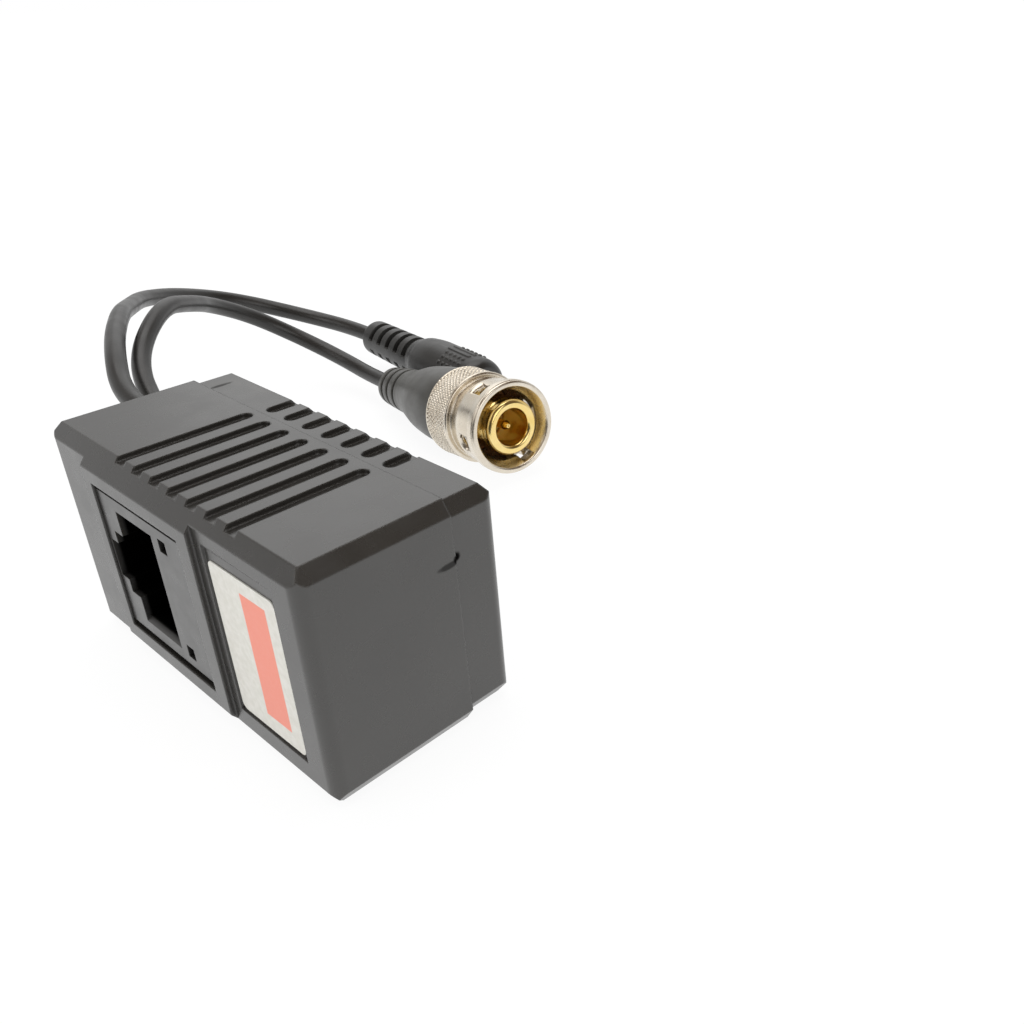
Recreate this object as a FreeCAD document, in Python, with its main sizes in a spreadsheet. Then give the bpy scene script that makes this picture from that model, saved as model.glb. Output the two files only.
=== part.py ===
"""Video balun: a small two-shell housing with a modular socket, a video lead and a power lead.

The housing stands on its lower face. +X runs along the housing, away from the leads, the socket
faces -Y and +Z is up. The origin is the middle of the housing's footprint. Lengths are millimetres.
"""
import FreeCAD, Part
import math
import os
import re

import Sketcher
from FreeCAD import Placement, Rotation, Vector

os.makedirs("parts", exist_ok=True)
doc = FreeCAD.newDocument("video_balun")
sheet = doc.addObject("Spreadsheet::Sheet", "Sizes")

# Driving sizes, grouped as the object is
SIZES = {
    # Housing
    "body_length": 44.8,
    "body_depth": 20.7,
    "body_height": 24.2,
    "shell_wall": 1.6,
    "corner_radius": 1.3,
    "bevel_depth": 1.1,
    "bevel_drop": 1.45,
    "end_bevel": 1.0,
    "rear_depth": 5.35,
    "rear_inset": 0.35,
    "lip_length": 1.6,
    "lip_wall": 0.7,
    "fit_gap": 0.05,
    # Raised panel round the socket
    "panel_from_end": 7.82,
    "panel_width": 20.76,
    "panel_raise": 0.55,
    "window_gap": 0.6,
    # Slots across the top and the bottom
    "slot_from_end": 13.67,
    "slot_width": 1.66,
    "slot_pitch": 3.32,
    "slot_depth": 0.55,
    "long_slot_stop": 1.65,
    "short_slot_start": 1.72,
    # Sticker and its recess
    "label_from_end": 4.1,
    "label_width": 10.45,
    "label_height": 16.2,
    "label_bottom": 3.75,
    "label_thickness": 0.12,
    "recess_depth": 0.25,
    "recess_margin": 0.3,
    "recess_headroom": 1.4,
    # Modular socket
    "jack_from_end": 9.48,
    "jack_width": 16.35,
    "jack_height": 15.5,
    "jack_bottom": 4.48,
    "jack_depth": 13.2,
    "jack_recess": 0.25,
    "socket_from_side": 3.58,
    "socket_width": 7.0,
    "socket_height": 11.9,
    "socket_depth": 11.2,
    "socket_bevel": 0.45,
    "latch_width": 1.78,
    "latch_height": 7.15,
    "latch_depth": 9.0,
    "tab_width": 1.54,
    "tab_height": 4.28,
    "tab_depth": 5.0,
    "latch_rib": 0.45,
    "latch_rib_reach": 0.8,
    "latch_rib_spread": 1.2,
    "lamp_side": 1.4,
    "lamp_depth": 3.0,
    "lamp_from_side": 3.52,
    "lamp_spread": 5.97,
    "bay_width": 1.78,
    "bay_height": 8.6,
    "bay_start": 2.0,
    # Contact wires and their carrier
    "contact_pitch": 1.02,
    "contact_width": 0.4,
    "contact_thickness": 0.3,
    "contact_from_bay": 0.45,
    "contact_nose": 2.9,
    "contact_reach": 6.9,
    "contact_angle": 122.0,
    "contact_tail": 0.9,
    "carrier_length": 3.4,
    # Circuit board and what stands on it
    "board_thickness": 1.6,
    "board_from_left": 5.25,
    "board_from_right": 6.05,
    "board_margin": 0.9,
    "post_width": 1.4,
    "post_height": 3.0,
    "ring_radius": 3.0,
    "ring_bore": 1.5,
    "ring_room": 1.4,
    "ring_from_contacts": 4.5,
    "wire_thickness": 0.3,
    "suppressor_length": 4.2,
    "suppressor_width": 2.4,
    "suppressor_room": 2.2,
    "suppressor_from_contacts": 4.0,
    "suppressor_pitch": 10.0,
    "fuse_radius": 2.6,
    "fuse_height": 1.6,
    "fuse_from_edge": 4.4,
    "chip_length": 1.6,
    "chip_width": 0.8,
    "chip_height": 0.5,
    "chip_pitch": 2.2,
    "chip_from_edge": 7.4,
    "solder_radius": 0.75,
    "solder_height": 0.8,
    # Leads
    "video_radius": 1.25,
    "power_radius": 1.3,
    "leads_from_top": 10.7,
    "lead_pitch": 6.6,
    "exit_gap": 0.1,
    "lead_inside": 5.4,
    "first_run": 9.5,
    "last_run": 10.0,
    "core_radius": 0.3,
    "core_pitch": 1.1,
    "core_length": 4.4,
    "tie_width": 2.4,
    "tie_wall": 0.9,
    "tie_from_end": 0.1,
    # Place of the video plug, from the middle of its front ring
    "plug_ahead": -11.52,
    "plug_behind": 42.92,
    "plug_yaw": -8.08,
    "plug_tilt": 6.57,
    # Coupling nut
    "nut_radius": 6.6,
    "nut_length": 12.7,
    "nut_bore": 4.95,
    "nut_cavity": 5.52,
    "nut_ledge": 9.35,
    "nut_lip": 0.2,
    "nut_lip_width": 0.2,
    "nut_edge": 0.3,
    "drum_step": 0.5,
    "neck_step": 0.9,
    "knurl_length": 5.55,
    "neck_length": 1.95,
    "rim_length": 1.7,
    "rim_bore": 5.85,
    "rim_bore_depth": 1.6,
    "cam_width": 2.1,
    "cam_start": 2.9,
    "cam_rise": 0.8,
    "cam_angle": 80.0,
    "cam_start_angle": 22.0,
    "cam_floor": 5.65,
    # Plug body and what it carries
    "flange_radius": 5.45,
    "flange_front": 9.4,
    "flange_length": 1.0,
    "hub_radius": 4.5,
    "hub_end": 13.7,
    "stub_radius": 3.2,
    "stub_end": 21.5,
    "stub_bore": 0.9,
    "seat_depth": 0.5,
    "contact_lip": 3.95,
    "contact_lip_length": 1.3,
    "sleeve_radius": 3.6,
    "sleeve_bore": 2.55,
    "sleeve_front": 0.05,
    "insulator_front": 6.5,
    "insulator_end": 13.0,
    "pin_radius": 0.68,
    "pin_front": 1.2,
    "pin_taper": 0.5,
    "crimp_radius": 0.85,
    "gasket_radius": 4.85,
    "gasket_length": 1.2,
    "ring_fit": 0.08,
    "lock_ring_length": 0.5,
    "thrust_length": 0.4,
    "spring_height": 1.1,
    "spring_thickness": 0.25,
    "ferrule_wall": 0.5,
    "mould_radius": 2.4,
    "mould_end": 29.2,
    # Boot of the video plug
    "boot_front": 13.2,
    "boot_radius": 5.85,
    "boot_shoulder": 18.0,
    "boot_waist": 28.2,
    "boot_waist_radius": 3.65,
    "boot_length": 34.6,
    "boot_tail_radius": 3.0,
    "boot_rib_pitch": 1.95,
    "boot_groove": 0.55,
    "boot_groove_depth": 0.7,
    # Moulded power socket, from the middle of its front face
    "power_ahead": -32.1,
    "power_behind": 55.65,
    "power_yaw": -4.36,
    "power_droop": 1.7,
    "grip_radius": 4.5,
    "grip_nose": 1.6,
    "grip_nose_step": 0.9,
    "grip_length": 13.0,
    "grip_flare": 17.6,
    "relief_radius": 3.3,
    "relief_end": 32.2,
    "relief_end_radius": 3.0,
    "relief_pitch": 2.7,
    "relief_groove": 1.1,
    "relief_groove_depth": 0.8,
    "barrel_bore": 2.85,
    "barrel_wall": 0.4,
    "barrel_front": 0.6,
    "barrel_length": 10.0,
    "base_length": 2.4,
    "power_pin_radius": 1.05,
    "power_pin_front": 2.0,
    "leaf_length": 6.5,
    "leaf_width": 1.6,
    "leaf_thickness": 0.25,
    "leaf_step": 0.17,
    "power_mould_radius": 2.5,
    "power_mould_end": 27.0,
}

# Places that follow from the sizes
PLACES = {
    "front_y": "-(body_depth + panel_raise) / 2 + panel_raise",
    "panel_y": "front_y - panel_raise",
    "back_y": "front_y + body_depth",
    "seam_y": "back_y - rear_depth",
    "inner_front": "front_y + shell_wall",
    "inner_back": "back_y - shell_wall",
    "inner_end": "body_length / 2 - shell_wall",
    "lip_end": "inner_end - fit_gap",
    "rear_end": "lip_end - lip_wall",
    "lip_floor": "shell_wall + fit_gap",
    "rear_floor": "lip_floor + lip_wall",
    "panel_left": "panel_from_end - body_length / 2",
    "panel_right": "panel_left + panel_width",
    "slot_left": "slot_from_end - body_length / 2",
    "long_slot_end": "seam_y - long_slot_stop",
    "short_slot_end": "seam_y + short_slot_start",
    "label_right": "body_length / 2 - label_from_end",
    "label_left": "label_right - label_width",
    "label_top": "label_bottom + label_height",
    "recess_y": "front_y + recess_depth",
    "jack_left": "jack_from_end - body_length / 2",
    "jack_right": "jack_left + jack_width",
    "jack_top": "jack_bottom + jack_height",
    "jack_front": "panel_y + jack_recess",
    "jack_back": "jack_front + jack_depth",
    "socket_mid": "jack_bottom + jack_height / 2",
    "socket_left": "jack_left + socket_from_side",
    "socket_right": "socket_left + socket_width",
    "latch_left": "socket_left - latch_width",
    "tab_left": "latch_left - tab_width",
    "lamp_x": "jack_right - lamp_from_side",
    "bay_right": "socket_right + bay_width",
    "contact_x": "bay_right - contact_from_bay",
    "board_back": "jack_back + board_thickness",
    "board_low": "shell_wall + board_margin",
    "board_high": "body_height - shell_wall - board_margin",
    "board_left": "board_from_left - rear_end",
    "board_right": "rear_end - board_from_right",
    "ring_x": "contact_x - ring_from_contacts",
    "ring_y": "board_back + wire_thickness",
    "ring_height": "inner_back - ring_y - wire_thickness - ring_room",
    "suppressor_height": "inner_back - board_back - suppressor_room",
    "suppressor_left": "contact_x + suppressor_from_contacts",
    "fuse_x": "board_right - fuse_from_edge",
    "chip_left": "board_left + chip_from_edge",
    "power_exit": "body_height - leads_from_top + lead_pitch / 2",
    "video_exit": "body_height - leads_from_top - lead_pitch / 2",
    "lead_start": "body_length / 2 - lead_inside",
    "knurl_front": "nut_length - knurl_length",
    "drum_back": "knurl_front - neck_length",
    "drum_radius": "nut_radius - drum_step",
    "neck_radius": "nut_radius - neck_step",
    "ring_bore_radius": "hub_radius + ring_fit",
    "lock_back": "nut_length - nut_lip",
    "lock_front": "lock_back - lock_ring_length",
    "thrust_front": "lock_front - thrust_length",
    "flange_back": "flange_front + flange_length",
    "ferrule_radius": "stub_radius + fit_gap + ferrule_wall",
    "barrel_radius": "barrel_bore + barrel_wall",
    "barrel_end": "barrel_front + barrel_length",
    "base_end": "barrel_end + base_length",
}

SLOT_COUNT = 7
CONTACT_COUNT = 8
TURN_COUNT = 12
CHIP_COUNT = 4
CAM_STEPS = 9


def fill_sheet():
    """Write the driving sizes as plain numbers, and the places as formulas, each with its alias."""
    rows = list(SIZES.items()) + [(name, "=" + formula) for name, formula in PLACES.items()]
    for row, (name, content) in enumerate(rows, start=1):
        sheet.set(f"A{row}", name)
        sheet.set(f"B{row}", str(content))
        sheet.setAlias(f"B{row}", name)
    doc.recompute()


def ex(text):
    """Turn a formula in plain size names into one that reads the sheet."""
    def qualify(found):
        word = found.group()
        return "Sizes." + word if word in SIZES or word in PLACES else word
    return re.sub(r"[a-z][a-z_]*[a-z]", qualify, str(text))


def size(name):
    """The number in the sheet under this name."""
    return float(sheet.get(name))


NODES = []


def node(thing, label, place=None):
    """Register a finished sub-part under the name of its file."""
    thing.Label = label
    if place is not None:
        thing.Placement = place
    NODES.append(thing)
    return thing


# Bound primitives

def box(name, along_x, along_y, along_z):
    """A box between pairs of formulas."""
    solid = doc.addObject("Part::Box", name)
    for prop, axis, (low, high) in (
        ("Length", "x", along_x), ("Width", "y", along_y), ("Height", "z", along_z),
    ):
        solid.setExpression(prop, ex(f"({high}) - ({low})"))
        solid.setExpression(f".Placement.Base.{axis}", ex(low))
    return solid


TURN_TO = {
    "x": Rotation(Vector(0, 1, 0), 90),
    "y": Rotation(Vector(1, 0, 0), -90),
    "z": Rotation(),
}


def rod(name, axis, start, radius, length):
    """A cylinder from a start point, given as three formulas, along +X, +Y or +Z."""
    solid = doc.addObject("Part::Cylinder", name)
    solid.Placement = Placement(Vector(), TURN_TO[axis])
    solid.setExpression("Radius", ex(radius))
    solid.setExpression("Height", ex(length))
    for letter, formula in zip("xyz", start):
        solid.setExpression(f".Placement.Base.{letter}", ex(formula))
    return solid


def fuse(name, solids):
    """One shape from several."""
    joined = doc.addObject("Part::MultiFuse", name)
    joined.Shapes = solids
    joined.Refine = True
    return joined


def cut(name, base, tools):
    """The base less the tools."""
    tool = tools[0] if len(tools) == 1 else fuse(name + "_tools", tools)
    result = doc.addObject("Part::Cut", name)
    result.Base = base
    result.Tool = tool
    result.Refine = True
    return result


# Sketched bodies

def origin_plane(body, role):
    """The body's own origin plane with this role."""
    return next(item for item in body.Origin.OriginFeatures if item.Role == role)


def outline(body, name, role, loops, offset="0"):
    """A sketch of closed polygons on an origin plane, each corner held by two bound distances."""
    sketch = body.newObject("Sketcher::SketchObject", name)
    sketch.AttachmentSupport = (origin_plane(body, role), [""])
    sketch.MapMode = "FlatFace"
    sketch.setExpression(".AttachmentOffset.Base.z", ex(offset))
    for corners in loops:
        first = sketch.GeometryCount
        count = len(corners)
        reach = size("body_depth")
        spread = [
            Vector(reach * math.cos(2 * math.pi * k / count), reach * math.sin(2 * math.pi * k / count), 0)
            for k in range(count)
        ]
        for k in range(count):
            sketch.addGeometry(Part.LineSegment(spread[k], spread[(k + 1) % count]))
        for k in range(count):
            following = first + (k + 1) % count
            sketch.addConstraint(Sketcher.Constraint("Coincident", first + k, 2, following, 1))
        for k, corner in enumerate(corners):
            for kind, formula in zip(("DistanceX", "DistanceY"), corner):
                index = sketch.addConstraint(Sketcher.Constraint(kind, -1, 1, first + k, 1, 1.0))
                sketch.setExpression(f"Constraints[{index}]", ex(formula))
    return sketch


def turned(name, corners):
    """A turned piece: its half section, as distance behind the front and radius, about the X axis."""
    body = doc.addObject("PartDesign::Body", name)
    section = [(f"-({behind})", radius) for behind, radius in corners]
    sketch = outline(body, name + "_section", "XY_Plane", [section])
    turn = body.newObject("PartDesign::Revolution", name + "_turn")
    turn.Profile = sketch
    turn.ReferenceAxis = (sketch, ["H_Axis"])
    turn.Angle = 360
    return body


def tube_section(front, back, bore, radius):
    """Half section of a plain tube."""
    return [(front, bore), (front, radius), (back, radius), (back, bore)]


def rod_section(front, back, radius, taper):
    """Half section of a rod with a tapered front end."""
    return [
        (front, "0"), (front, f"{radius} * 0.55"), (f"{front} + {taper}", radius), (back, radius), (back, "0"),
    ]


def rectangle(low_x, high_x, low_y, high_y):
    """Corners of a rectangle."""
    return [(low_x, low_y), (high_x, low_y), (high_x, high_y), (low_x, high_y)]


def shell_block(name, inset, near, far, bevel_at_front):
    """The beveled outer block of one shell, between two Y stations, with its outer corners rounded."""
    body = doc.addObject("PartDesign::Body", name)
    end = f"(body_length / 2 - {inset})"
    top = f"(body_height - {inset})"
    plan = outline(body, name + "_plan", "XY_Plane", [rectangle(f"-{end}", end, near, far)], inset)
    pad = body.newObject("PartDesign::Pad", name + "_pad")
    pad.Profile = plan
    pad.setExpression("Length", ex(f"body_height - 2 * {inset}"))
    doc.recompute()
    outer_y = size(near if bevel_at_front else far)
    corners = []
    for index, edge in enumerate(pad.Shape.Edges, start=1):
        ends = [vertex.Point for vertex in edge.Vertexes]
        upright = abs(ends[0].z - ends[1].z) > 1
        if upright and abs(ends[0].y - outer_y) < 0.001:
            corners.append(f"Edge{index}")
    rounding = body.newObject("PartDesign::Fillet", name + "_corners")
    rounding.Base = (pad, corners)
    rounding.setExpression("Radius", ex("corner_radius"))
    side = near if bevel_at_front else far
    sign = "+" if bevel_at_front else "-"
    away = "-" if bevel_at_front else "+"
    side_cuts = []
    for level, beyond, drop in ((top, f"{top} + 1", "-"), (inset, f"{inset} - 1", "+")):
        side_cuts.append([
            (side, f"{level} {drop} bevel_drop"),
            (f"{side} {sign} bevel_depth", level),
            (f"{side} {sign} bevel_depth", beyond),
            (f"{side} {away} 1", beyond),
            (f"{side} {away} 1", f"{level} {drop} bevel_drop"),
        ])
    end_cuts = []
    for reach, out in ((end, "+"), (f"-{end}", "-")):
        inward = "-" if out == "+" else "+"
        for level, beyond, drop in ((top, f"{top} + 1", "-"), (inset, f"{inset} - 1", "+")):
            end_cuts.append([
                (reach, f"{level} {drop} bevel_drop"),
                (f"{reach} {inward} end_bevel", level),
                (f"{reach} {inward} end_bevel", beyond),
                (f"{reach} {out} 1", beyond),
                (f"{reach} {out} 1", f"{level} {drop} bevel_drop"),
            ])
    for kind, role, loops in (("side", "YZ_Plane", side_cuts), ("end", "XZ_Plane", end_cuts)):
        before = body.Shape.Volume
        sketch = outline(body, f"{name}_{kind}_bevels", role, loops)
        pocket = body.newObject("PartDesign::Pocket", f"{name}_{kind}_bevel_cut")
        pocket.Profile = sketch
        pocket.Midplane = True
        pocket.setExpression("Length", ex("3 * body_length"))
        doc.recompute()
        print(f"{name} {kind} bevels removed {before - pocket.Shape.Volume:.2f} mm3")
    return body


# Housing

def slots(name, low_y, high_y, round_at, inset):
    """Tools for one row of slots across a shell's top and bottom faces, each with one round end."""
    tools = []
    for k in range(SLOT_COUNT):
        left = f"slot_left + {k} * slot_pitch"
        for side, low_z, high_z in (
            ("top", f"body_height - {inset} - slot_depth", "body_height + 1"),
            ("bottom", "-1", f"{inset} + slot_depth"),
        ):
            tools.append(box(f"{name}_{side}_{k}", (left, f"{left} + slot_width"), (low_y, high_y), (low_z, high_z)))
            middle = (f"{left} + slot_width / 2", round_at, low_z)
            tools.append(rod(f"{name}_{side}_end_{k}", "z", middle, "slot_width / 2", f"({high_z}) - ({low_z})"))
    return tools


def posts(name, low_y, high_y):
    """Four square posts that hold the circuit board from one side."""
    made = []
    for side, low_x in (("left", "board_left + 0.1"), ("right", "board_right - 0.1 - post_width")):
        for level, low_z in (("low", "board_low + 0.2"), ("high", "board_high - 0.2 - post_height")):
            made.append(box(
                f"{name}_{side}_{level}",
                (low_x, f"{low_x} + post_width"), (low_y, high_y), (low_z, f"{low_z} + post_height"),
            ))
    return made


def lead_holes(name):
    """Tools for the round holes that the two leads leave through, centred on the seam."""
    made = []
    for lead in ("video", "power"):
        start = ("-body_length / 2 - 1", "seam_y", f"{lead}_exit")
        made.append(rod(f"{name}_{lead}_hole", "x", start, f"{lead}_radius + exit_gap", "lead_inside - 0.4"))
    return made


def make_front_shell():
    """Front shell: raised panel with the socket window, sticker recess, long slots and board posts."""
    block = shell_block("front_block", "0", "front_y", "seam_y", True)
    panel = doc.addObject("PartDesign::Body", "panel")
    slope = "panel_raise * bevel_drop / bevel_depth"
    side = [
        ("front_y", "bevel_drop"),
        ("panel_y", f"bevel_drop + {slope}"),
        ("panel_y", f"body_height - bevel_drop - {slope}"),
        ("front_y", "body_height - bevel_drop"),
        ("inner_front - 0.2", "body_height - bevel_drop"),
        ("inner_front - 0.2", "bevel_drop"),
    ]
    sketch = outline(panel, "panel_side", "YZ_Plane", [side], "panel_left")
    pad = panel.newObject("PartDesign::Pad", "panel_pad")
    pad.Profile = sketch
    pad.setExpression("Length", ex("panel_width"))
    solid = fuse("front_solid", [block, panel])
    cavity = box(
        "front_cavity", ("-inner_end", "inner_end"), ("inner_front", "seam_y + 1"),
        ("shell_wall", "body_height - shell_wall"),
    )
    window = box(
        "window", ("jack_left - fit_gap", "jack_right + window_gap"), ("panel_y - 1", "inner_front + 1"),
        ("jack_bottom - window_gap", "jack_top + window_gap"),
    )
    recess = box(
        "label_recess", ("label_left - recess_margin", "label_right + recess_margin"),
        ("front_y - 1", "recess_y"), ("label_bottom - recess_margin", "label_top + recess_headroom"),
    )
    tools = [cavity, window, recess] + lead_holes("front")
    tools += slots("long_slot", "panel_y - 1", "long_slot_end", "long_slot_end", "0")
    shell = cut("front_hollow", solid, tools)
    whole = fuse("front_whole", [shell] + posts("front_post", "inner_front - 0.2", "jack_back"))
    node(whole, "front_shell")


def make_rear_shell():
    """Rear shell: set in all round, with a lip inside the front shell, short slots and board posts."""
    block = shell_block("rear_block", "rear_inset", "seam_y", "back_y", False)
    lip = box(
        "rear_lip", ("-lip_end", "lip_end"), ("seam_y - lip_length", "seam_y + 0.5"),
        ("lip_floor", "body_height - lip_floor"),
    )
    solid = fuse("rear_solid", [block, lip])
    cavity = box(
        "rear_cavity", ("-rear_end", "rear_end"), ("seam_y - lip_length - 1", "inner_back"),
        ("rear_floor", "body_height - rear_floor"),
    )
    tools = [cavity] + lead_holes("rear")
    tools += slots("short_slot", "short_slot_end", "back_y + 1", "short_slot_end", "rear_inset")
    shell = cut("rear_hollow", solid, tools)
    whole = fuse("rear_whole", [shell] + posts("rear_post", "board_back + fit_gap", "inner_back + 0.2"))
    node(whole, "rear_shell")


def make_label():
    """Sticker lying on the floor of its recess."""
    sticker = box(
        "sticker", ("label_left", "label_right"), ("recess_y - label_thickness", "recess_y"),
        ("label_bottom", "label_top"),
    )
    node(sticker, "label")


# Modular socket

def make_jack():
    """Socket housing: beveled mouth, stepped latch channel, two square lamp windows, contact bay."""
    block = box(
        "jack_block", ("jack_left", "jack_right"), ("jack_front", "jack_back"), ("jack_bottom", "jack_top"),
    )
    half = "socket_height / 2"
    cavity = box(
        "jack_cavity", ("socket_left", "socket_right"), ("jack_front - 1", "jack_front + socket_depth"),
        (f"socket_mid - {half}", f"socket_mid + {half}"),
    )
    mouth = doc.addObject("Part::Wedge", "jack_mouth")
    for prop, formula in (
        ("Ymin", "jack_front - 0.001"), ("Ymax", "jack_front + socket_bevel"),
        ("Xmin", "socket_left"), ("Xmax", "socket_right + socket_bevel * 0.4"),
        ("Zmin", f"socket_mid - {half} - socket_bevel"), ("Zmax", f"socket_mid + {half} + socket_bevel"),
        ("X2min", "socket_left"), ("X2max", "socket_right"),
        ("Z2min", f"socket_mid - {half}"), ("Z2max", f"socket_mid + {half}"),
    ):
        mouth.setExpression(prop, ex(formula))
    latch = box(
        "jack_latch", ("latch_left", "socket_left + 0.1"), ("jack_front - 1", "jack_front + latch_depth"),
        ("socket_mid - latch_height / 2", "socket_mid + latch_height / 2"),
    )
    tab = box(
        "jack_tab", ("tab_left", "latch_left + 0.1"), ("jack_front - 1", "jack_front + tab_depth"),
        ("socket_mid - tab_height / 2", "socket_mid + tab_height / 2"),
    )
    bay = box(
        "jack_bay", ("socket_right - 0.1", "bay_right"), ("jack_front + bay_start", "jack_back + 1"),
        ("socket_mid - bay_height / 2", "socket_mid + bay_height / 2"),
    )
    lamps = []
    for side, sign in (("low", "-"), ("high", "+")):
        middle = f"socket_mid {sign} lamp_spread"
        lamps.append(box(
            f"jack_lamp_{side}", ("lamp_x - lamp_side / 2", "lamp_x + lamp_side / 2"),
            ("jack_front - 1", "jack_front + lamp_depth"),
            (f"{middle} - lamp_side / 2", f"{middle} + lamp_side / 2"),
        ))
    hollow = cut("jack_hollow", block, [cavity, mouth, latch, tab, bay] + lamps)
    ribs = []
    for side, sign in (("low", "-"), ("high", "+")):
        middle = f"socket_mid {sign} latch_rib_spread"
        ribs.append(box(
            f"jack_rib_{side}", ("latch_left - 0.1", "latch_left + latch_rib_reach"),
            ("jack_front + tab_depth", "jack_front + latch_depth + 0.1"),
            (f"{middle} - latch_rib / 2", f"{middle} + latch_rib / 2"),
        ))
    node(fuse("jack_whole", [hollow] + ribs), "socket_housing")


def contact_level(k):
    """Height of one contact wire's middle."""
    return f"socket_mid + ({k} - {(CONTACT_COUNT - 1) / 2}) * contact_pitch"


def make_contacts():
    """Eight sprung wires: a tail through the board, a run along the bay and an arm into the socket."""
    pieces = []
    half = "contact_thickness / 2"
    nose_y = "jack_front + contact_nose"
    for k in range(CONTACT_COUNT):
        low = f"{contact_level(k)} - contact_width / 2"
        pieces.append(box(
            f"contact_tail_{k}", (f"contact_x - {half}", f"contact_x + {half}"),
            (nose_y, "board_back + contact_tail"), (low, f"{low} + contact_width"),
        ))
        pieces.append(rod(
            f"contact_nose_{k}", "z", (f"contact_x - {half}", nose_y, low), "contact_thickness", "contact_width",
        ))
        arm = doc.addObject("Part::Box", f"contact_arm_{k}")
        arm.Placement = Placement(Vector(), Rotation(Vector(0, 0, 1), size("contact_angle")))
        arm.setExpression("Length", ex("contact_reach"))
        arm.setExpression("Width", ex("contact_thickness"))
        arm.setExpression("Height", ex("contact_width"))
        for letter, formula in (("x", f"contact_x - {half}"), ("y", nose_y), ("z", low)):
            arm.setExpression(f".Placement.Base.{letter}", ex(formula))
        pieces.append(arm)
    node(fuse("contact_wires", pieces), "socket_contacts")


def contact_slots(name, low_y, high_y):
    """Tools for the square holes that the contact tails pass."""
    reach = "(contact_thickness / 2 + fit_gap)"
    tall = "(contact_width / 2 + fit_gap)"
    made = []
    for k in range(CONTACT_COUNT):
        level = contact_level(k)
        made.append(box(
            f"{name}_{k}", (f"contact_x - {reach}", f"contact_x + {reach}"), (low_y, high_y),
            (f"{level} - {tall}", f"{level} + {tall}"),
        ))
    return made


def make_carrier():
    """Comb that closes the back of the contact bay and keeps the wires apart."""
    block = box(
        "carrier_block", ("socket_right + fit_gap", "bay_right - fit_gap"),
        ("jack_back - carrier_length", "jack_back"),
        ("socket_mid - bay_height / 2 + fit_gap", "socket_mid + bay_height / 2 - fit_gap"),
    )
    tools = contact_slots("carrier_slot", "jack_back - carrier_length - 1", "jack_back + 1")
    node(cut("carrier", block, tools), "contact_carrier")


# Circuit board

def make_board():
    """Circuit board behind the socket, pierced for the contact tails, and its solder joints."""
    plate = box("board_plate", ("board_left", "board_right"), ("jack_back", "board_back"), ("board_low", "board_high"))
    tools = contact_slots("board_slot", "jack_back - 1", "board_back + 1")
    node(cut("board", plate, tools), "circuit_board")


def make_cores():
    """Stripped cores that run from each lead's end along the board, and the joints that hold them."""
    joints = []
    for lead in ("video", "power"):
        cores = []
        for side, sign in (("low", "-"), ("high", "+")):
            level = f"{lead}_exit {sign} core_pitch / 2"
            start = ("-lead_start", "board_back + core_radius + fit_gap", level)
            cores.append(rod(f"{lead}_core_{side}", "x", start, "core_radius", "core_length"))
            joint = rod(
                f"{lead}_joint_{side}", "y", ("-lead_start + core_length - core_radius", "board_back", level),
                "core_pitch / 2 - fit_gap", "solder_height",
            )
            recess = rod(f"{lead}_joint_hole_{side}", "x", start, "core_radius", "core_length")
            joints.append(cut(f"{lead}_joint_cut_{side}", joint, [recess]))
        node(fuse(f"{lead}_cores_pair", cores), f"{lead}_lead_cores")
    for k in range(CHIP_COUNT):
        joints.append(rod(
            f"pad_joint_{k}", "y", (f"chip_left + {k} * chip_pitch", "board_back", "board_low + 1.4"),
            "solder_radius", "solder_height / 2",
        ))
    node(fuse("joints", joints), "solder_joints")


def make_transformer():
    """Ferrite ring on the board and the wire wound through it."""
    start = ("ring_x", "ring_y", "socket_mid")
    disc = rod("ring_disc", "y", start, "ring_radius", "ring_height")
    bore_start = ("ring_x", "ring_y - 1", "socket_mid")
    bore = rod("ring_hole", "y", bore_start, "ring_bore", "ring_height + 2")
    node(cut("ferrite", disc, [bore]), "transformer_core")

    wire = size("wire_thickness")
    inner, outer, tall = size("ring_bore"), size("ring_radius"), size("ring_height")
    turns = []
    for k in range(TURN_COUNT):
        around = Part.makeBox(
            outer - inner + 2 * wire, tall + 2 * wire, wire, Vector(inner - wire, -wire, -wire / 2),
        )
        inside = Part.makeBox(outer - inner, tall, 2 * wire, Vector(inner, 0, -wire))
        turn = around.cut(inside)
        turn.rotate(Vector(), Vector(0, 1, 0), 360.0 * k / TURN_COUNT)
        turns.append(turn)
    winding = doc.addObject("Part::Feature", "winding")
    winding.Shape = Part.makeCompound(turns)
    place = Placement(Vector(size("ring_x"), size("ring_y"), size("socket_mid")), Rotation())
    node(winding, "transformer_winding", place)


def make_protection():
    """Two surge suppressors, the power path's fuse disc and a row of chip parts."""
    blocks = []
    for side, sign in (("low", "-"), ("high", "+")):
        level = f"socket_mid {sign} suppressor_pitch / 2"
        blocks.append(box(
            f"suppressor_{side}", ("suppressor_left", "suppressor_left + suppressor_length"),
            ("board_back", "board_back + suppressor_height"),
            (f"{level} - suppressor_width / 2", f"{level} + suppressor_width / 2"),
        ))
    node(fuse("suppressors", blocks), "surge_suppressors")
    disc = rod("fuse_disc", "y", ("fuse_x", "board_back", "socket_mid"), "fuse_radius", "fuse_height")
    node(disc, "resettable_fuse")
    chips = []
    for k in range(CHIP_COUNT):
        low = f"chip_left + {k} * chip_pitch"
        chips.append(box(
            f"chip_{k}", (low, f"{low} + chip_length"), ("board_back", "board_back + chip_height"),
            ("board_high - 2.4", "board_high - 2.4 + chip_width"),
        ))
    node(fuse("chips", chips), "chip_parts")


# Video plug, drawn with its front ring at the origin and its tail towards -X

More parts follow.
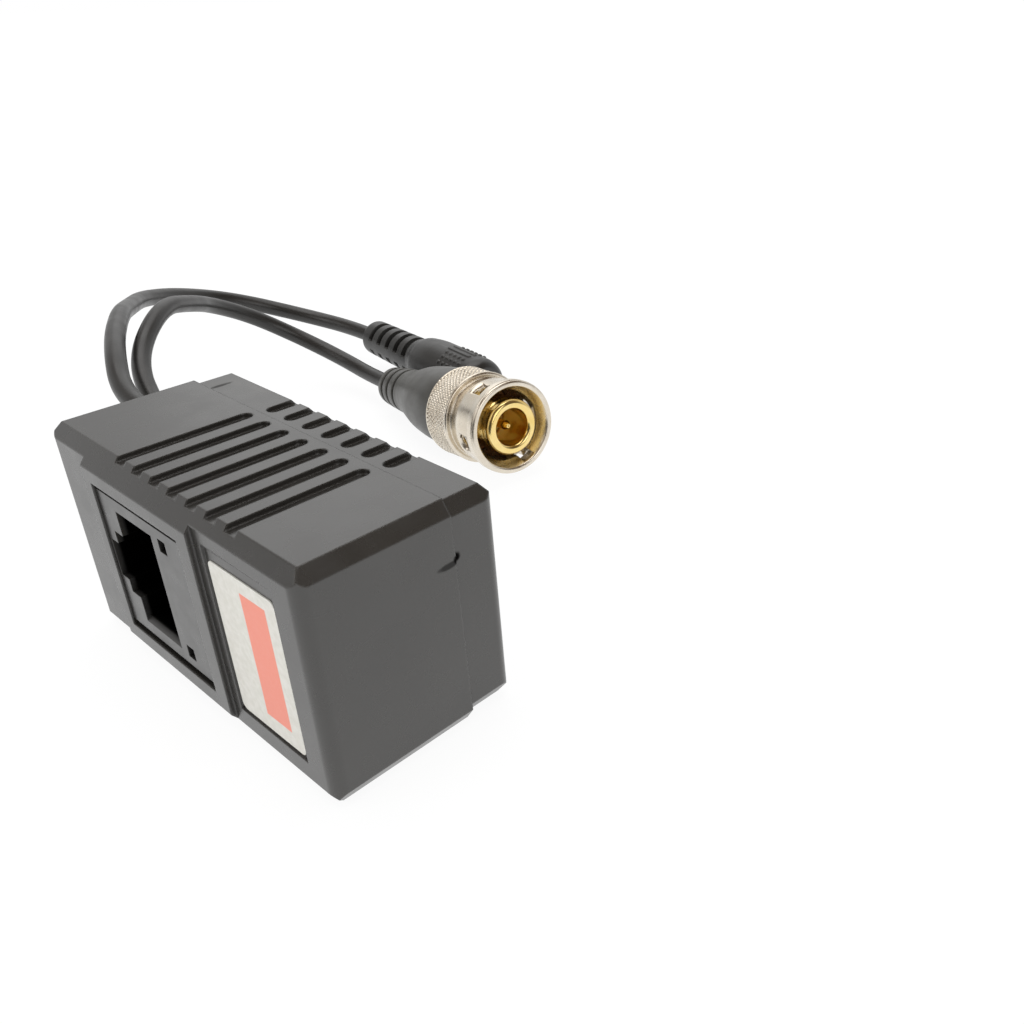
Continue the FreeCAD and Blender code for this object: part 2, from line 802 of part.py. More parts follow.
def plug_place():
    """Where the video plug lies: on the rear rim of its nut, its nose a little up."""
    tilt = math.radians(size("plug_tilt"))
    rim = size("nut_length") - size("nut_edge")
    height = size("nut_radius") * math.cos(tilt) + rim * math.sin(tilt)
    turn = Rotation(Vector(0, 0, 1), size("plug_yaw")) * Rotation(Vector(0, 1, 0), -size("plug_tilt"))
    return Placement(Vector(size("plug_ahead"), size("plug_behind"), height), turn)


def cam_tool():
    """Tool for the two bayonet paths: an entry, a square window, an inner ramp and an oval hole."""
    width, start, rise = size("cam_width"), size("cam_start"), size("cam_rise")
    floor, over = size("cam_floor"), size("nut_radius") + 1
    bore = size("nut_bore") - 0.5
    pieces = []
    for side in (0, 180):
        first = size("cam_start_angle") + side
        entry = Part.makeBox(start, width, floor - bore, Vector(-start, -width / 2, bore))
        window = Part.makeBox(
            width, width, over - bore, Vector(-start - width / 2, -width / 2, bore),
        )
        for piece in (entry, window):
            piece.rotate(Vector(), Vector(1, 0, 0), first)
            pieces.append(piece)
        for k in range(CAM_STEPS + 1):
            share = k / CAM_STEPS
            reach = over - bore if k >= CAM_STEPS - 1 else floor - bore
            plug = Part.makeCylinder(width / 2, reach, Vector(-start - rise * share, 0, bore))
            plug.rotate(Vector(), Vector(1, 0, 0), first + size("cam_angle") * share)
            pieces.append(plug)
    tool = doc.addObject("Part::Feature", "cam_tool")
    tool.Shape = pieces[0].multiFuse(pieces[1:])
    return tool


def make_nut(place):
    """Coupling nut: grip band, neck, drum with the bayonet paths and a front rim with a flared mouth."""
    section = [
        ("nut_length", "nut_cavity - nut_lip_width"),
        ("nut_length", "nut_radius - nut_edge"),
        ("nut_length - nut_edge", "nut_radius"),
        ("knurl_front + nut_edge", "nut_radius"),
        ("knurl_front", "nut_radius - nut_edge"),
        ("knurl_front - nut_edge", "neck_radius"),
        ("drum_back + nut_edge", "neck_radius"),
        ("drum_back", "drum_radius"),
        ("rim_length + nut_edge", "drum_radius"),
        ("rim_length", "nut_radius"),
        ("nut_edge", "nut_radius"),
        ("0", "nut_radius - nut_edge"),
        ("0", "rim_bore"),
        ("rim_bore_depth", "nut_bore"),
        ("nut_ledge", "nut_bore"),
        ("nut_ledge", "nut_cavity"),
        ("lock_back", "nut_cavity"),
        ("lock_back", "nut_cavity - nut_lip_width"),
    ]
    drum = turned("nut_drum", section)
    node(cut("nut", drum, [cam_tool()]), "video_plug_coupling_nut", place)
    ring = turned("lock_ring", tube_section("lock_front", "lock_back", "ring_bore_radius", "nut_cavity - fit_gap / 2"))
    node(ring, "video_plug_lock_ring", place)


def make_plug_core(place):
    """Body, contacts, insulator, gasket and washers of the video plug."""
    body_section = [
        ("flange_front", "sleeve_radius + fit_gap"),
        ("flange_front", "flange_radius"),
        ("flange_back", "flange_radius"),
        ("flange_back", "hub_radius"),
        ("hub_end", "hub_radius"),
        ("hub_end", "stub_radius"),
        ("stub_end", "stub_radius"),
        ("stub_end", "stub_bore"),
        ("insulator_end", "stub_bore"),
        ("insulator_end", "sleeve_bore + fit_gap"),
        ("flange_front + seat_depth", "sleeve_bore + fit_gap"),
        ("flange_front + seat_depth", "sleeve_radius + fit_gap"),
    ]
    node(turned("plug_body", body_section), "video_plug_body", place)
    sleeve_section = [
        ("sleeve_front", "sleeve_bore + 0.2"),
        ("sleeve_front", "contact_lip - 0.4"),
        ("sleeve_front + 0.4", "contact_lip"),
        ("sleeve_front + contact_lip_length", "contact_lip"),
        ("sleeve_front + contact_lip_length + 0.5", "sleeve_radius"),
        ("flange_front + seat_depth", "sleeve_radius"),
        ("flange_front + seat_depth", "sleeve_bore"),
        ("sleeve_front + 0.2", "sleeve_bore"),
    ]
    node(turned("plug_sleeve", sleeve_section), "video_plug_outer_contact", place)
    insulator = tube_section("insulator_front", "insulator_end", "pin_radius + fit_gap", "sleeve_bore - fit_gap")
    node(turned("plug_insulator", insulator), "video_plug_insulator", place)
    pin_section = [
        ("pin_front", "0"),
        ("pin_front", "pin_radius * 0.5"),
        ("pin_front + pin_taper", "pin_radius"),
        ("insulator_end + fit_gap", "pin_radius"),
        ("insulator_end + fit_gap", "crimp_radius"),
        ("stub_end", "crimp_radius"),
        ("stub_end", "0"),
    ]
    node(turned("plug_pin", pin_section), "video_plug_centre_pin", place)
    gasket = tube_section("flange_front - gasket_length", "flange_front", "sleeve_radius + fit_gap", "gasket_radius")
    node(turned("plug_gasket", gasket), "video_plug_gasket", place)
    thrust = tube_section("thrust_front", "lock_front", "ring_bore_radius", "nut_cavity - fit_gap")
    node(turned("plug_thrust", thrust), "video_plug_thrust_washer", place)
    spring_section = [
        ("flange_back", "ring_bore_radius"),
        ("flange_back + spring_thickness", "ring_bore_radius"),
        ("flange_back + spring_height", "flange_radius"),
        ("flange_back + spring_height - spring_thickness", "flange_radius"),
    ]
    node(turned("plug_spring", spring_section), "video_plug_spring_washer", place)
    ferrule = tube_section("hub_end + fit_gap", "stub_end", "stub_radius + fit_gap", "ferrule_radius")
    node(turned("plug_ferrule", ferrule), "video_plug_crimp_ferrule", place)
    mould = rod_section("stub_end", "mould_end", "mould_radius", "fit_gap")
    node(turned("plug_mould", mould), "video_plug_inner_mould", place)


def ribbed(start, pitch, width, depth, first_radius, last_radius, count):
    """Corners of a run of grooves towards the tail, the radius falling evenly."""
    corners = []
    for k in range(count):
        share = f"{k} / {count}"
        outer = f"({first_radius} + ({last_radius} - {first_radius}) * {share})"
        at = f"({start} + {k} * {pitch})"
        corners += [
            (at, outer),
            (f"{at} + 0.15", f"{outer} - {depth}"),
            (f"{at} + {width} - 0.15", f"{outer} - {depth}"),
            (f"{at} + {width}", outer),
        ]
    return corners


def make_boot(place):
    """Moulded boot of the video plug: a rounded cone with a ribbed tail."""
    section = [
        ("boot_front", "hub_radius + 0.2"),
        ("boot_front", "boot_radius - 0.4"),
        ("boot_front + 2.4", "boot_radius"),
        ("boot_shoulder", "boot_radius - 0.15"),
        ("boot_shoulder + 3.6", "boot_radius - 0.65"),
        ("boot_shoulder + 6.6", "boot_waist_radius + 0.65"),
        ("boot_waist - 1.2", "boot_waist_radius"),
    ]
    section += ribbed(
        "boot_waist", "boot_rib_pitch", "boot_groove", "boot_groove_depth",
        "boot_waist_radius", "boot_tail_radius", 3,
    )
    section += [
        ("boot_length - 0.5", "boot_tail_radius"),
        ("boot_length", "boot_tail_radius - 0.5"),
        ("boot_length", "video_radius + fit_gap"),
        ("mould_end", "video_radius + fit_gap"),
        ("mould_end", "mould_radius + fit_gap"),
        ("stub_end", "mould_radius + fit_gap"),
        ("stub_end", "ferrule_radius + fit_gap"),
        ("hub_end", "ferrule_radius + fit_gap"),
        ("hub_end", "hub_radius + 0.2"),
    ]
    node(turned("boot", section), "video_plug_boot", place)


# Power socket, drawn with its front face at the origin and its tail towards -X

def power_place():
    """Where the power socket lies: on the front edge of its grip, its lead's end a little up."""
    droop = math.radians(size("power_droop"))
    height = size("grip_radius") * math.cos(droop) - size("grip_nose") * math.sin(droop)
    turn = Rotation(Vector(0, 0, 1), size("power_yaw")) * Rotation(Vector(0, 1, 0), size("power_droop"))
    return Placement(Vector(size("power_ahead"), size("power_behind"), height), turn)


def make_power_socket(place):
    """Moulded grip with a ribbed relief, barrel contact, leaf, base, centre pin and inner moulding."""
    grip = [
        ("0", "barrel_bore"),
        ("0", "grip_radius - grip_nose_step"),
        ("grip_nose * 0.35", "grip_radius - grip_nose_step * 0.4"),
        ("grip_nose", "grip_radius"),
        ("grip_length", "grip_radius"),
        ("grip_length + 3.0", "grip_radius - 0.35"),
        ("grip_flare", "relief_radius"),
    ]
    grip += ribbed(
        "grip_flare + 0.5", "relief_pitch", "relief_groove", "relief_groove_depth",
        "relief_radius", "relief_end_radius", 5,
    )
    grip += [
        ("relief_end - 0.4", "relief_end_radius"),
        ("relief_end", "relief_end_radius - 0.4"),
        ("relief_end", "power_radius + fit_gap"),
        ("grip_flare", "power_radius + fit_gap"),
        ("grip_flare", "power_mould_radius + fit_gap"),
        ("base_end", "power_mould_radius + fit_gap"),
        ("base_end", "barrel_radius + fit_gap"),
        ("barrel_front", "barrel_radius + fit_gap"),
        ("barrel_front", "barrel_bore"),
    ]
    node(turned("grip", grip), "power_socket_grip", place)
    tube = turned("barrel_tube", tube_section("barrel_front", "barrel_end", "barrel_bore", "barrel_radius"))
    half = "leaf_width / 2 + 2 * fit_gap"
    slot = box(
        "barrel_slot", ("-barrel_end + 1", "-barrel_end + 1 + leaf_length + 0.2"), (f"-({half})", half),
        ("-barrel_radius - 1", "0"),
    )
    node(cut("barrel", tube, [slot]), "power_socket_barrel", place)
    leaf = box(
        "leaf", ("-barrel_end + 1.1", "-barrel_end + 1.1 + leaf_length"), ("-leaf_width / 2", "leaf_width / 2"),
        ("-barrel_bore - leaf_thickness", "-barrel_bore"),
    )
    leaf_node = doc.addObject("Part::MultiFuse", "leaf_whole")
    foot = box(
        "leaf_foot", ("-barrel_end - 0.001", "-barrel_end + 1.2"), ("-leaf_width / 2", "leaf_width / 2"),
        ("leaf_step - barrel_bore", "leaf_step - barrel_bore + leaf_thickness"),
    )
    bridge = box(
        "leaf_bridge", ("-barrel_end + 1.1", "-barrel_end + 1.4"), ("-leaf_width / 2", "leaf_width / 2"),
        ("-barrel_bore - leaf_thickness", "leaf_step - barrel_bore + leaf_thickness"),
    )
    leaf_node.Shapes = [leaf, foot, bridge]
    node(leaf_node, "power_socket_leaf_contact", place)
    base = tube_section("barrel_end", "base_end", "power_pin_radius + fit_gap", "barrel_radius")
    node(turned("power_base", base), "power_socket_base", place)
    pin = rod_section("power_pin_front", "base_end", "power_pin_radius", "0.4")
    node(turned("power_pin", pin), "power_socket_centre_pin", place)
    mould = [
        ("base_end", "0"),
        ("base_end", "power_mould_radius"),
        ("grip_flare", "power_mould_radius"),
        ("grip_flare", "power_radius"),
        ("power_mould_end", "power_radius"),
        ("power_mould_end", "0"),
    ]
    node(turned("power_mould", mould), "power_socket_inner_mould", place)


# Leads

VIDEO_ROUTE = [
    (-40.4, 7.9, 14.2), (-50.4, 10.7, 18.1), (-57.1, 18.5, 22.4), (-63.5, 25.7, 19.8), (-69.2, 31.5, 17.0),
    (-70.6, 38.4, 13.2), (-67.8, 44.4, 8.7), (-61.2, 48.3, 5.1),
]
POWER_ROUTE = [
    (-39.2, 3.8, 17.5), (-49.2, 7.9, 21.0), (-60.4, 13.9, 21.6), (-71.1, 19.7, 19.2), (-80.6, 25.8, 17.3),
    (-86.5, 34.7, 14.6), (-87.2, 44.6, 11.2), (-81.2, 53.7, 7.3),
]


def rounded_path(points):
    """Straight runs joined by tangent arcs, each arc as large as its two runs allow."""
    corners = [Vector(*point) for point in points]
    edges, radii, here = [], [], corners[0]
    for before, corner, after in zip(corners, corners[1:], corners[2:]):
        back, ahead = (before - corner), (after - corner)
        reach = 0.45 * min(back.Length, ahead.Length)
        turn = math.pi - back.getAngle(ahead)
        radii.append(reach / math.tan(turn / 2))
        back.normalize()
        ahead.normalize()
        start, end = corner + back * reach, corner + ahead * reach
        middle_way = (back + ahead).normalize()
        middle = corner + middle_way * (radii[-1] / math.cos(turn / 2) - radii[-1])
        edges.append(Part.LineSegment(here, start).toShape())
        edges.append(Part.Arc(start, middle, end).toShape())
        here = end
    edges.append(Part.LineSegment(here, corners[-1]).toShape())
    return Part.Wire(edges), radii


def make_lead(name, route, radius, place, inner_end):
    """One lead: from inside the housing, out through the seam, along its route and into its connector."""
    start = Vector(-size("lead_start"), size("seam_y"), size(f"{name}_exit"))
    points = [tuple(start), tuple(start + Vector(-size("first_run"), 0, 0))] + route
    points += [tuple(place.multVec(Vector(-inner_end - size("last_run"), 0, 0)))]
    points += [tuple(place.multVec(Vector(-inner_end, 0, 0)))]
    path, radii = rounded_path(points)
    ring = Part.Wire(Part.makeCircle(radius, Vector(*points[0]), Vector(1, 0, 0)))
    lead = doc.addObject("Part::Feature", f"{name}_tube")
    lead.Shape = path.makePipeShell([ring], True, False)
    expected = math.pi * radius ** 2 * path.Length
    print(f"{name} lead {path.Length:.1f} mm long, arcs", " ".join(f"{r:.1f}" for r in radii))
    print(f"{name} lead volume {lead.Shape.Volume:.2f} mm3 against {expected:.2f} mm3")
    node(lead, f"{name}_lead")


def make_ties():
    """Cable ties that stop the leads from being pulled out of the housing."""
    ties = []
    for lead in ("video", "power"):
        inner = "(-lead_start - tie_from_end)"
        start = (f"{inner} - tie_width", "seam_y", f"{lead}_exit")
        over = (f"{inner} - tie_width - 1", "seam_y", f"{lead}_exit")
        band = rod(f"{lead}_tie_band", "x", start, f"{lead}_radius + tie_wall", "tie_width")
        head = box(
            f"{lead}_tie_head", (f"{inner} - tie_width", inner),
            (f"seam_y + {lead}_radius", f"seam_y + {lead}_radius + 2 * tie_wall"),
            (f"{lead}_exit - tie_wall", f"{lead}_exit + tie_wall"),
        )
        hole = rod(f"{lead}_tie_hole", "x", over, f"{lead}_radius + 0.01", "tie_width + 2")
        ties.append(cut(f"{lead}_tie", fuse(f"{lead}_tie_solid", [band, head]), [hole]))
    node(fuse("ties", ties), "lead_ties")


def check_and_write():
    """Refuse a failed feature or a bad shape, then write each sub-part to its file."""
    doc.recompute()
    for item in doc.Objects:
        if "Invalid" in item.State or "Error" in item.State:
            raise RuntimeError(f"{item.Name} failed: {item.State}")
    for item in NODES:
        if item.Shape.isNull() or not item.Shape.isValid():
            raise RuntimeError(f"{item.Label} has no valid shape")
    for item in NODES:
        item.Shape.exportStep(f"parts/{item.Label}.step")
        print(f"{item.Label}: {len(item.Shape.Solids)} solids, {item.Shape.Volume:.2f} mm3")


def main():
    """Build every sub-part and write it."""
    fill_sheet()
    make_front_shell()
    make_rear_shell()
    make_label()
    make_jack()
    make_contacts()
    make_carrier()
    make_board()
    make_cores()
    make_transformer()
    make_protection()
    plug, power = plug_place(), power_place()
    make_nut(plug)
    make_plug_core(plug)
    make_boot(plug)
    make_power_socket(power)
    make_ties()
    make_lead("video", VIDEO_ROUTE, size("video_radius"), plug, size("mould_end"))
    make_lead("power", POWER_ROUTE, size("power_radius"), power, size("power_mould_end"))
    check_and_write()


main()
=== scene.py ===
"""Looks of a video balun: a two-shell ABS housing with a modular socket, a video lead and a power lead.

Sizes are in millimetres, in the frame of the CAD part: +X along the housing away from its leads,
-Y out of the socket, +Z up, and the origin in the middle of the footprint.
"""
import logging
import math
from dataclasses import dataclass, field
from enum import Enum
from typing import Any, Callable, Sequence

import bmesh
import bpy
import numpy as np
from mathutils import Matrix, Vector


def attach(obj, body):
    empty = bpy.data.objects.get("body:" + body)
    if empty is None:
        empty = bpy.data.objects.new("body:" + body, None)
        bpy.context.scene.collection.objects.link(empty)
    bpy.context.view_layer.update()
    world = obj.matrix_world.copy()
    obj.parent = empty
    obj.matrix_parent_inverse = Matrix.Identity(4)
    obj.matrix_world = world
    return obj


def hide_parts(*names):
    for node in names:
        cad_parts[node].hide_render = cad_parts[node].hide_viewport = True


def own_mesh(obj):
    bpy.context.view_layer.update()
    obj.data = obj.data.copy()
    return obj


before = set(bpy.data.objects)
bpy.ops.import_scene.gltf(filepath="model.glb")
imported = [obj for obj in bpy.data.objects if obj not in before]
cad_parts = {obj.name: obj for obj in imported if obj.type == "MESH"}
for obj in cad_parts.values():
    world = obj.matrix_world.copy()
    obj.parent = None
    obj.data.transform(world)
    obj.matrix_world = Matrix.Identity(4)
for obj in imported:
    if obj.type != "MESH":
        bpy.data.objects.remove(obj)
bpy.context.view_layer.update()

MM = 0.001
BACKWARD = np.array([-1.0, 1.0])
LOG = logging.getLogger("balun")
Object = bpy.types.Object
Tree = bpy.types.NodeTree
Point = tuple[float, float, float]
Grid = tuple[np.ndarray, np.ndarray]
Carve = Callable[[np.ndarray, np.ndarray, np.ndarray], np.ndarray]


class Body(Enum):
    """The CAD bodies that pieces ride on."""

    BALUN = "balun"
    COUPLING = "coupling"


def metres(place: Sequence[float]) -> Point:
    """Turn a place in millimetres into one in metres."""
    return tuple(float(c) * MM for c in place)


# Materials


def linear(hex_code: str) -> tuple[float, float, float, float]:
    """Turn an sRGB hex colour into linear RGBA.

    Each channel c up to 0.04045 becomes c / 12.92, and above it ((c + 0.055) / 1.055) to the power 2.4.
    """
    channels = [int(hex_code[i:i + 2], 16) / 255 for i in (1, 3, 5)]
    return (*[c / 12.92 if c <= 0.04045 else ((c + 0.055) / 1.055) ** 2.4 for c in channels], 1.0)


def add(tree: Tree, kind: str, inputs: dict[str | int, Any], out: str | int = 0, **settings: Any) -> Any:
    """Add a shader node with its settings and links.

    Args:
        tree: the node tree it goes into.
        kind: Blender's name of the node type, without its first word.
        inputs: socket name or number, and either the socket that feeds it or its fixed value.
        out: name or number of the output that is wanted.
        settings: the node's own properties.

    Returns:
        That output, or None where the node has none.
    """
    node = tree.nodes.new("ShaderNode" + kind)
    for name, choice in settings.items():
        setattr(node, name, choice)
    for socket, source in inputs.items():
        if isinstance(source, bpy.types.NodeSocket):
            tree.links.new(source, node.inputs[socket])
        else:
            node.inputs[socket].default_value = source
    return node.outputs[out] if len(node.outputs) else None


def emptied(owner: bpy.types.Material | bpy.types.World) -> Tree:
    """Switch a material or world to nodes and return its tree without any."""
    owner.use_nodes = True
    owner.node_tree.nodes.clear()
    return owner.node_tree


@dataclass
class Look:
    """The sockets that a finish has worked out so far: colour, roughness, and height in millimetres."""

    tree: Tree
    coords: Any
    colour: Any
    roughness: Any
    height: Any
    metallic: Any = 0.0

    def cover(self, share: Any, colour: str, duller: float) -> None:
        """Bring in a colour by its share, and add that share of `duller` to the roughness."""
        tree = self.tree
        self.colour = add(tree, "Mix", {0: share, 6: self.colour, 7: linear(colour)}, 2, data_type="RGBA")
        if duller:
            self.roughness = add(
                tree, "Math", {0: share, 1: duller, 2: self.roughness}, operation="MULTIPLY_ADD")


@dataclass(frozen=True)
class Finish:
    """A surface as it was made: its mottled colour, its gloss, its fine relief and its rubbed edges."""

    name: str
    slot: str
    colour: str
    mottle: str
    mottle_mm: float = 4.0
    roughness: tuple[float, float] = (0.4, 0.5)
    relief_mm: float = 0.01
    relief_size_mm: float = 0.3
    metallic: float = 0.0
    edge_mm: float = 0.0
    rubbed: str = "#4A4946"
    constants: tuple[tuple[str, float], ...] = ()

    def extras(self, look: Look) -> None:
        """Change what the plain finish gives; most finishes add nothing."""

    def edges(self, look: Look) -> Any:
        """Round the edges in the shading and rub them a little paler and smoother.

        An edge starts where the dot product of the rounded normal and the surface's own falls under 0.99, and
        is whole at 0.88. Noise of about 0.8 mm leaves 0.15 to 0.65 of it rubbed.

        Returns:
            The rounded normal.
        """
        tree = look.tree
        soft = add(tree, "Bevel", {"Radius": self.edge_mm * MM}, samples=5)
        flat = add(tree, "NewGeometry", {}, "Normal")
        along = add(tree, "VectorMath", {0: soft, 1: flat}, "Value", operation="DOT_PRODUCT")
        torn = add(tree, "TexNoise", {"Vector": look.coords, "Scale": 1200.0, "Detail": 3.0})
        level = add(tree, "MapRange", {
            "Value": torn, "From Min": 0.35, "From Max": 0.7, "To Min": 0.15, "To Max": 0.65})
        edge = add(tree, "MapRange", {"Value": along, "From Min": 0.99, "From Max": 0.88})
        look.cover(add(tree, "Math", {0: edge, 1: level}, operation="MULTIPLY"), self.rubbed, -0.08)
        return soft

    def make(self) -> bpy.types.Material:
        """Build the material once and return it."""
        if self.name in bpy.data.materials:
            return bpy.data.materials[self.name]
        material = bpy.data.materials.new(self.name)
        tree = emptied(material)
        coords = add(tree, "TexCoord", {}, "Object")
        lumps = add(tree, "TexNoise", {"Vector": coords, "Scale": 1000 / self.mottle_mm, "Detail": 3.0})
        share = add(tree, "MapRange", {"Value": lumps, "From Min": 0.35, "From Max": 0.65})
        patches = add(tree, "TexNoise", {"Vector": coords, "Scale": 2500 / self.mottle_mm, "Detail": 3.0})
        grain = add(tree, "TexNoise", {"Vector": coords, "Scale": 1000 / self.relief_size_mm, "Detail": 2.0})
        look = Look(
            tree, coords,
            add(tree, "Mix", {0: share, 6: linear(self.colour), 7: linear(self.mottle)}, 2, data_type="RGBA"),
            add(tree, "MapRange", {
                "Value": patches, "From Min": 0.3, "From Max": 0.7,
                "To Min": self.roughness[0], "To Max": self.roughness[1]}),
            add(tree, "Math", {0: grain, 1: self.relief_mm}, operation="MULTIPLY"),
            self.metallic,
        )
        self.extras(look)
        relief = {"Height": look.height, "Strength": 1.0, "Distance": MM}
        if self.edge_mm:
            relief["Normal"] = self.edges(look)
        shader = add(tree, "BsdfPrincipled", {
            "Base Color": look.colour, "Roughness": look.roughness,
            "Normal": add(tree, "Bump", relief), "Metallic": look.metallic, **dict(self.constants),
        })
        add(tree, "OutputMaterial", {"Surface": shader})
        return material


@dataclass(frozen=True)
class Mark:
    """One small mark on a moulding: its middle, its half sizes, and how strong it is."""

    middle: Point
    half: Point
    strength: float = 1.0

    def share(self, look: Look) -> Any:
        """Strength inside a ragged ellipsoid, falling to 0 at its surface.

        The distance is the length of (place - middle) / half, plus 0.4 of a noise a third of the mark's size.
        The strength falls smoothly as it goes from 0.7 to 1.25.
        """
        tree, coords = look.tree, look.coords
        away = add(tree, "VectorMath", {0: coords, 1: metres(self.middle)}, operation="SUBTRACT")
        scaled = add(tree, "VectorMath", {0: away, 1: metres(self.half)}, operation="DIVIDE")
        gap = add(tree, "VectorMath", {0: scaled}, "Value", operation="LENGTH")
        torn = add(tree, "TexNoise", {"Vector": coords, "Scale": 4500 / sum(self.half), "Detail": 3.0})
        ragged = add(tree, "Math", {0: torn, 1: 0.4, 2: gap}, operation="MULTIPLY_ADD")
        return add(tree, "MapRange", {
            "Value": ragged, "From Min": 0.7, "From Max": 1.25, "To Min": self.strength, "To Max": 0.0},
            interpolation_type="SMOOTHSTEP")


@dataclass(frozen=True)
class MouldedAbs(Finish):
    """Injection-moulded ABS from a spark-eroded tool: satin, with rubbed spots, and painted shade in the pits
    of two snaps.
    """

    scuffs: tuple[Mark, ...] = (
        Mark((-18.4, 8.3, 23.6), (1.9, 0.7, 0.9), 0.1), Mark((-14.6, 8.9, 23.6), (2.2, 0.5, 0.9), 0.08),
        Mark((-19.5, 6.9, 23.6), (0.8, 1.3, 0.9), 0.08),
    )
    # Painted shade: the pit of the snap on the end face, the painted shadow trailing below it, and the pit of
    # the snap on the top.
    painted_pit_shade: tuple[Mark, ...] = (
        Mark((22.25, 5.5, 18.4), (1.6, 0.62, 0.6)), Mark((22.25, 4.4, 18.12), (1.6, 1.4, 0.42), 0.6),
        Mark((-18.5, 6.7, 24.1), (0.42, 1.9, 0.7), 0.5),
    )

    def extras(self, look: Look) -> None:
        """Pale dusty scuffs near the cable end; painted shade in the pits of two snaps, and a painted shadow
        trailing below one, as black metal without gloss.
        """
        for mark in self.scuffs:
            look.cover(mark.share(look), "#7F7D78", 0.3)
        # Painted shade: each pit is coloured black and made metal without gloss, standing in for the shade
        # inside it.
        for mark in self.painted_pit_shade:
            share = mark.share(look)
            look.cover(share, "#060505", 0.5)
            look.metallic = add(look.tree, "Math", {0: share, 1: look.metallic}, operation="MAXIMUM")


@dataclass(frozen=True)
class PocketResin(Finish):
    """Moulded resin whose face is satin, with painted shade over the pocket behind it."""

    face_y: float = -10.3
    shade_full_mm: float = 0.6

    def extras(self, look: Look) -> None:
        """Paint shade over what lies behind the face, wholly from the given depth on: black metal without
        gloss, so that no light leaves the pocket.
        """
        depth = add(look.tree, "SeparateXYZ", {0: look.coords}, "Y")
        pocket_shade = add(look.tree, "MapRange", {
            "Value": depth, "From Min": self.face_y * MM, "From Max": (self.face_y + self.shade_full_mm) * MM})
        # Painted shade: the pocket is coloured black and made metal without gloss, standing in for the shade
        # inside it.
        look.cover(pocket_shade, "#050505", 0.6)
        look.metallic = pocket_shade


@dataclass(frozen=True)
class PrintedVinyl(Finish):
    """Matt white vinyl sticker, screen printed with one plain field of orange."""

    field_low: tuple[float, float] = (12.55, 5.54)
    field_high: tuple[float, float] = (16.53, 18.5)
    ink: str = "#F0907C"
    ink_mm: float = 0.01
    soft_mm: float = 0.02

    def extras(self, look: Look) -> None:
        """Print the orange field, its edge soft for `soft_mm` on each side and its ink raised by `ink_mm`.

        The share of ink is the product of a rise at each low side and a fall at each high side.
        """
        tree, inked = look.tree, 1.0
        for axis, low, high in zip("XZ", self.field_low, self.field_high):
            place = add(tree, "SeparateXYZ", {0: look.coords}, axis)
            for side, to in ((low, (0.0, 1.0)), (high, (1.0, 0.0))):
                step = add(tree, "MapRange", {
                    "Value": place, "To Min": to[0], "To Max": to[1],
                    "From Min": (side - self.soft_mm) * MM, "From Max": (side + self.soft_mm) * MM})
                inked = add(tree, "Math", {0: step, 1: inked}, operation="MULTIPLY")
        look.cover(inked, self.ink, 0.0)
        look.height = add(tree, "Math", {0: inked, 1: self.ink_mm, 2: look.height}, operation="MULTIPLY_ADD")


@dataclass(frozen=True)
class TurnedPlate(Finish):
    """Electroplated turned metal: faint lathe lines round the axis under the plate."""

    origin: Point = (0.0, 0.0, 0.0)
    turn: tuple[float, float, float] = (0.0, 0.0, 0.0)
    line_mm: float = 0.12
    cut_mm: float = 0.004

    def extras(self, look: Look) -> None:
        """Lathe lines: noise stretched round the axis, read in the turned piece's own frame."""
        tree = look.tree
        shifted = add(tree, "VectorMath", {0: look.coords, 1: metres(self.origin)}, operation="SUBTRACT")
        turned = add(tree, "VectorRotate", {"Vector": shifted, "Rotation": self.turn},
                     rotation_type="EULER_XYZ", invert=True)
        flat = add(tree, "VectorMath", {0: turned, 1: (1.0, 0.06, 0.06)}, operation="MULTIPLY")
        lines = add(tree, "TexNoise", {"Vector": flat, "Scale": 1000 / self.line_mm, "Detail": 4.0})
        look.height = add(tree, "Math", {0: lines, 1: self.cut_mm, 2: look.height}, operation="MULTIPLY_ADD")


# Injection-moulded ABS: near black, satin, so pale surroundings wash over it in soft grey sheets.
HOUSING_ABS = MouldedAbs(
    "spark_textured_black_abs", "black_abs", "#272522", "#2B2926", 9.0, (0.24, 0.31), 0.004, 0.22, 0.0, 0.28,
    "#35332F", (("IOR", 1.76),))
# Glass-filled PBT: as dark as the shells at its face, with painted shade turning the pocket behind it black.
SOCKET_PBT = PocketResin(
    "black_pbt_painted_pocket_shade", "socket_pbt", "#272624", "#2B2A28", 5.0, (0.26, 0.34), 0.005, 0.18, 0.0, 0.1, "#35332F",
    (("IOR", 1.76),))
# Vinyl sticker: a warm matt white that stays bright at every angle.
STICKER_VINYL = PrintedVinyl(
    "printed_white_vinyl", "label_vinyl", "#E0DED7", "#D6D4CB", 0.7, (0.42, 0.5), 0.003, 0.4)
# Flexible PVC: black leads with a low sheen along their top line.
LEAD_PVC = Finish(
    "extruded_black_pvc", "black_pvc", "#1D1C1A", "#242220", 6.0, (0.32, 0.42), 0.01, 0.5,
    constants=(("IOR", 1.56),))
# The boots are the same PVC, moulded over the plugs, and duller from the textured tool.
BOOT_PVC = Finish(
    "moulded_black_pvc", "black_pvc", "#3B3A36", "#43423D", 4.0, (0.36, 0.46), 0.012, 0.28, 0.0, 0.1,
    "#4F4E48", (("IOR", 1.7),))
# A harder, darker PVC for the power socket's grip, whose slots stay black.
GRIP_PVC = Finish(
    "hard_moulded_black_pvc", "black_pvc", "#1F1E1C", "#272624", 4.0, (0.32, 0.42), 0.01, 0.28, 0.0, 0.08,
    "#3C3B39", (("IOR", 1.56),))
# Stiff premoulds inside the boots: matt and nearly black.
INNER_PVC = Finish("hard_black_premould", "inner_pvc", "#191919", "#222222", 4.0, (0.5, 0.6), 0.01, 0.3)
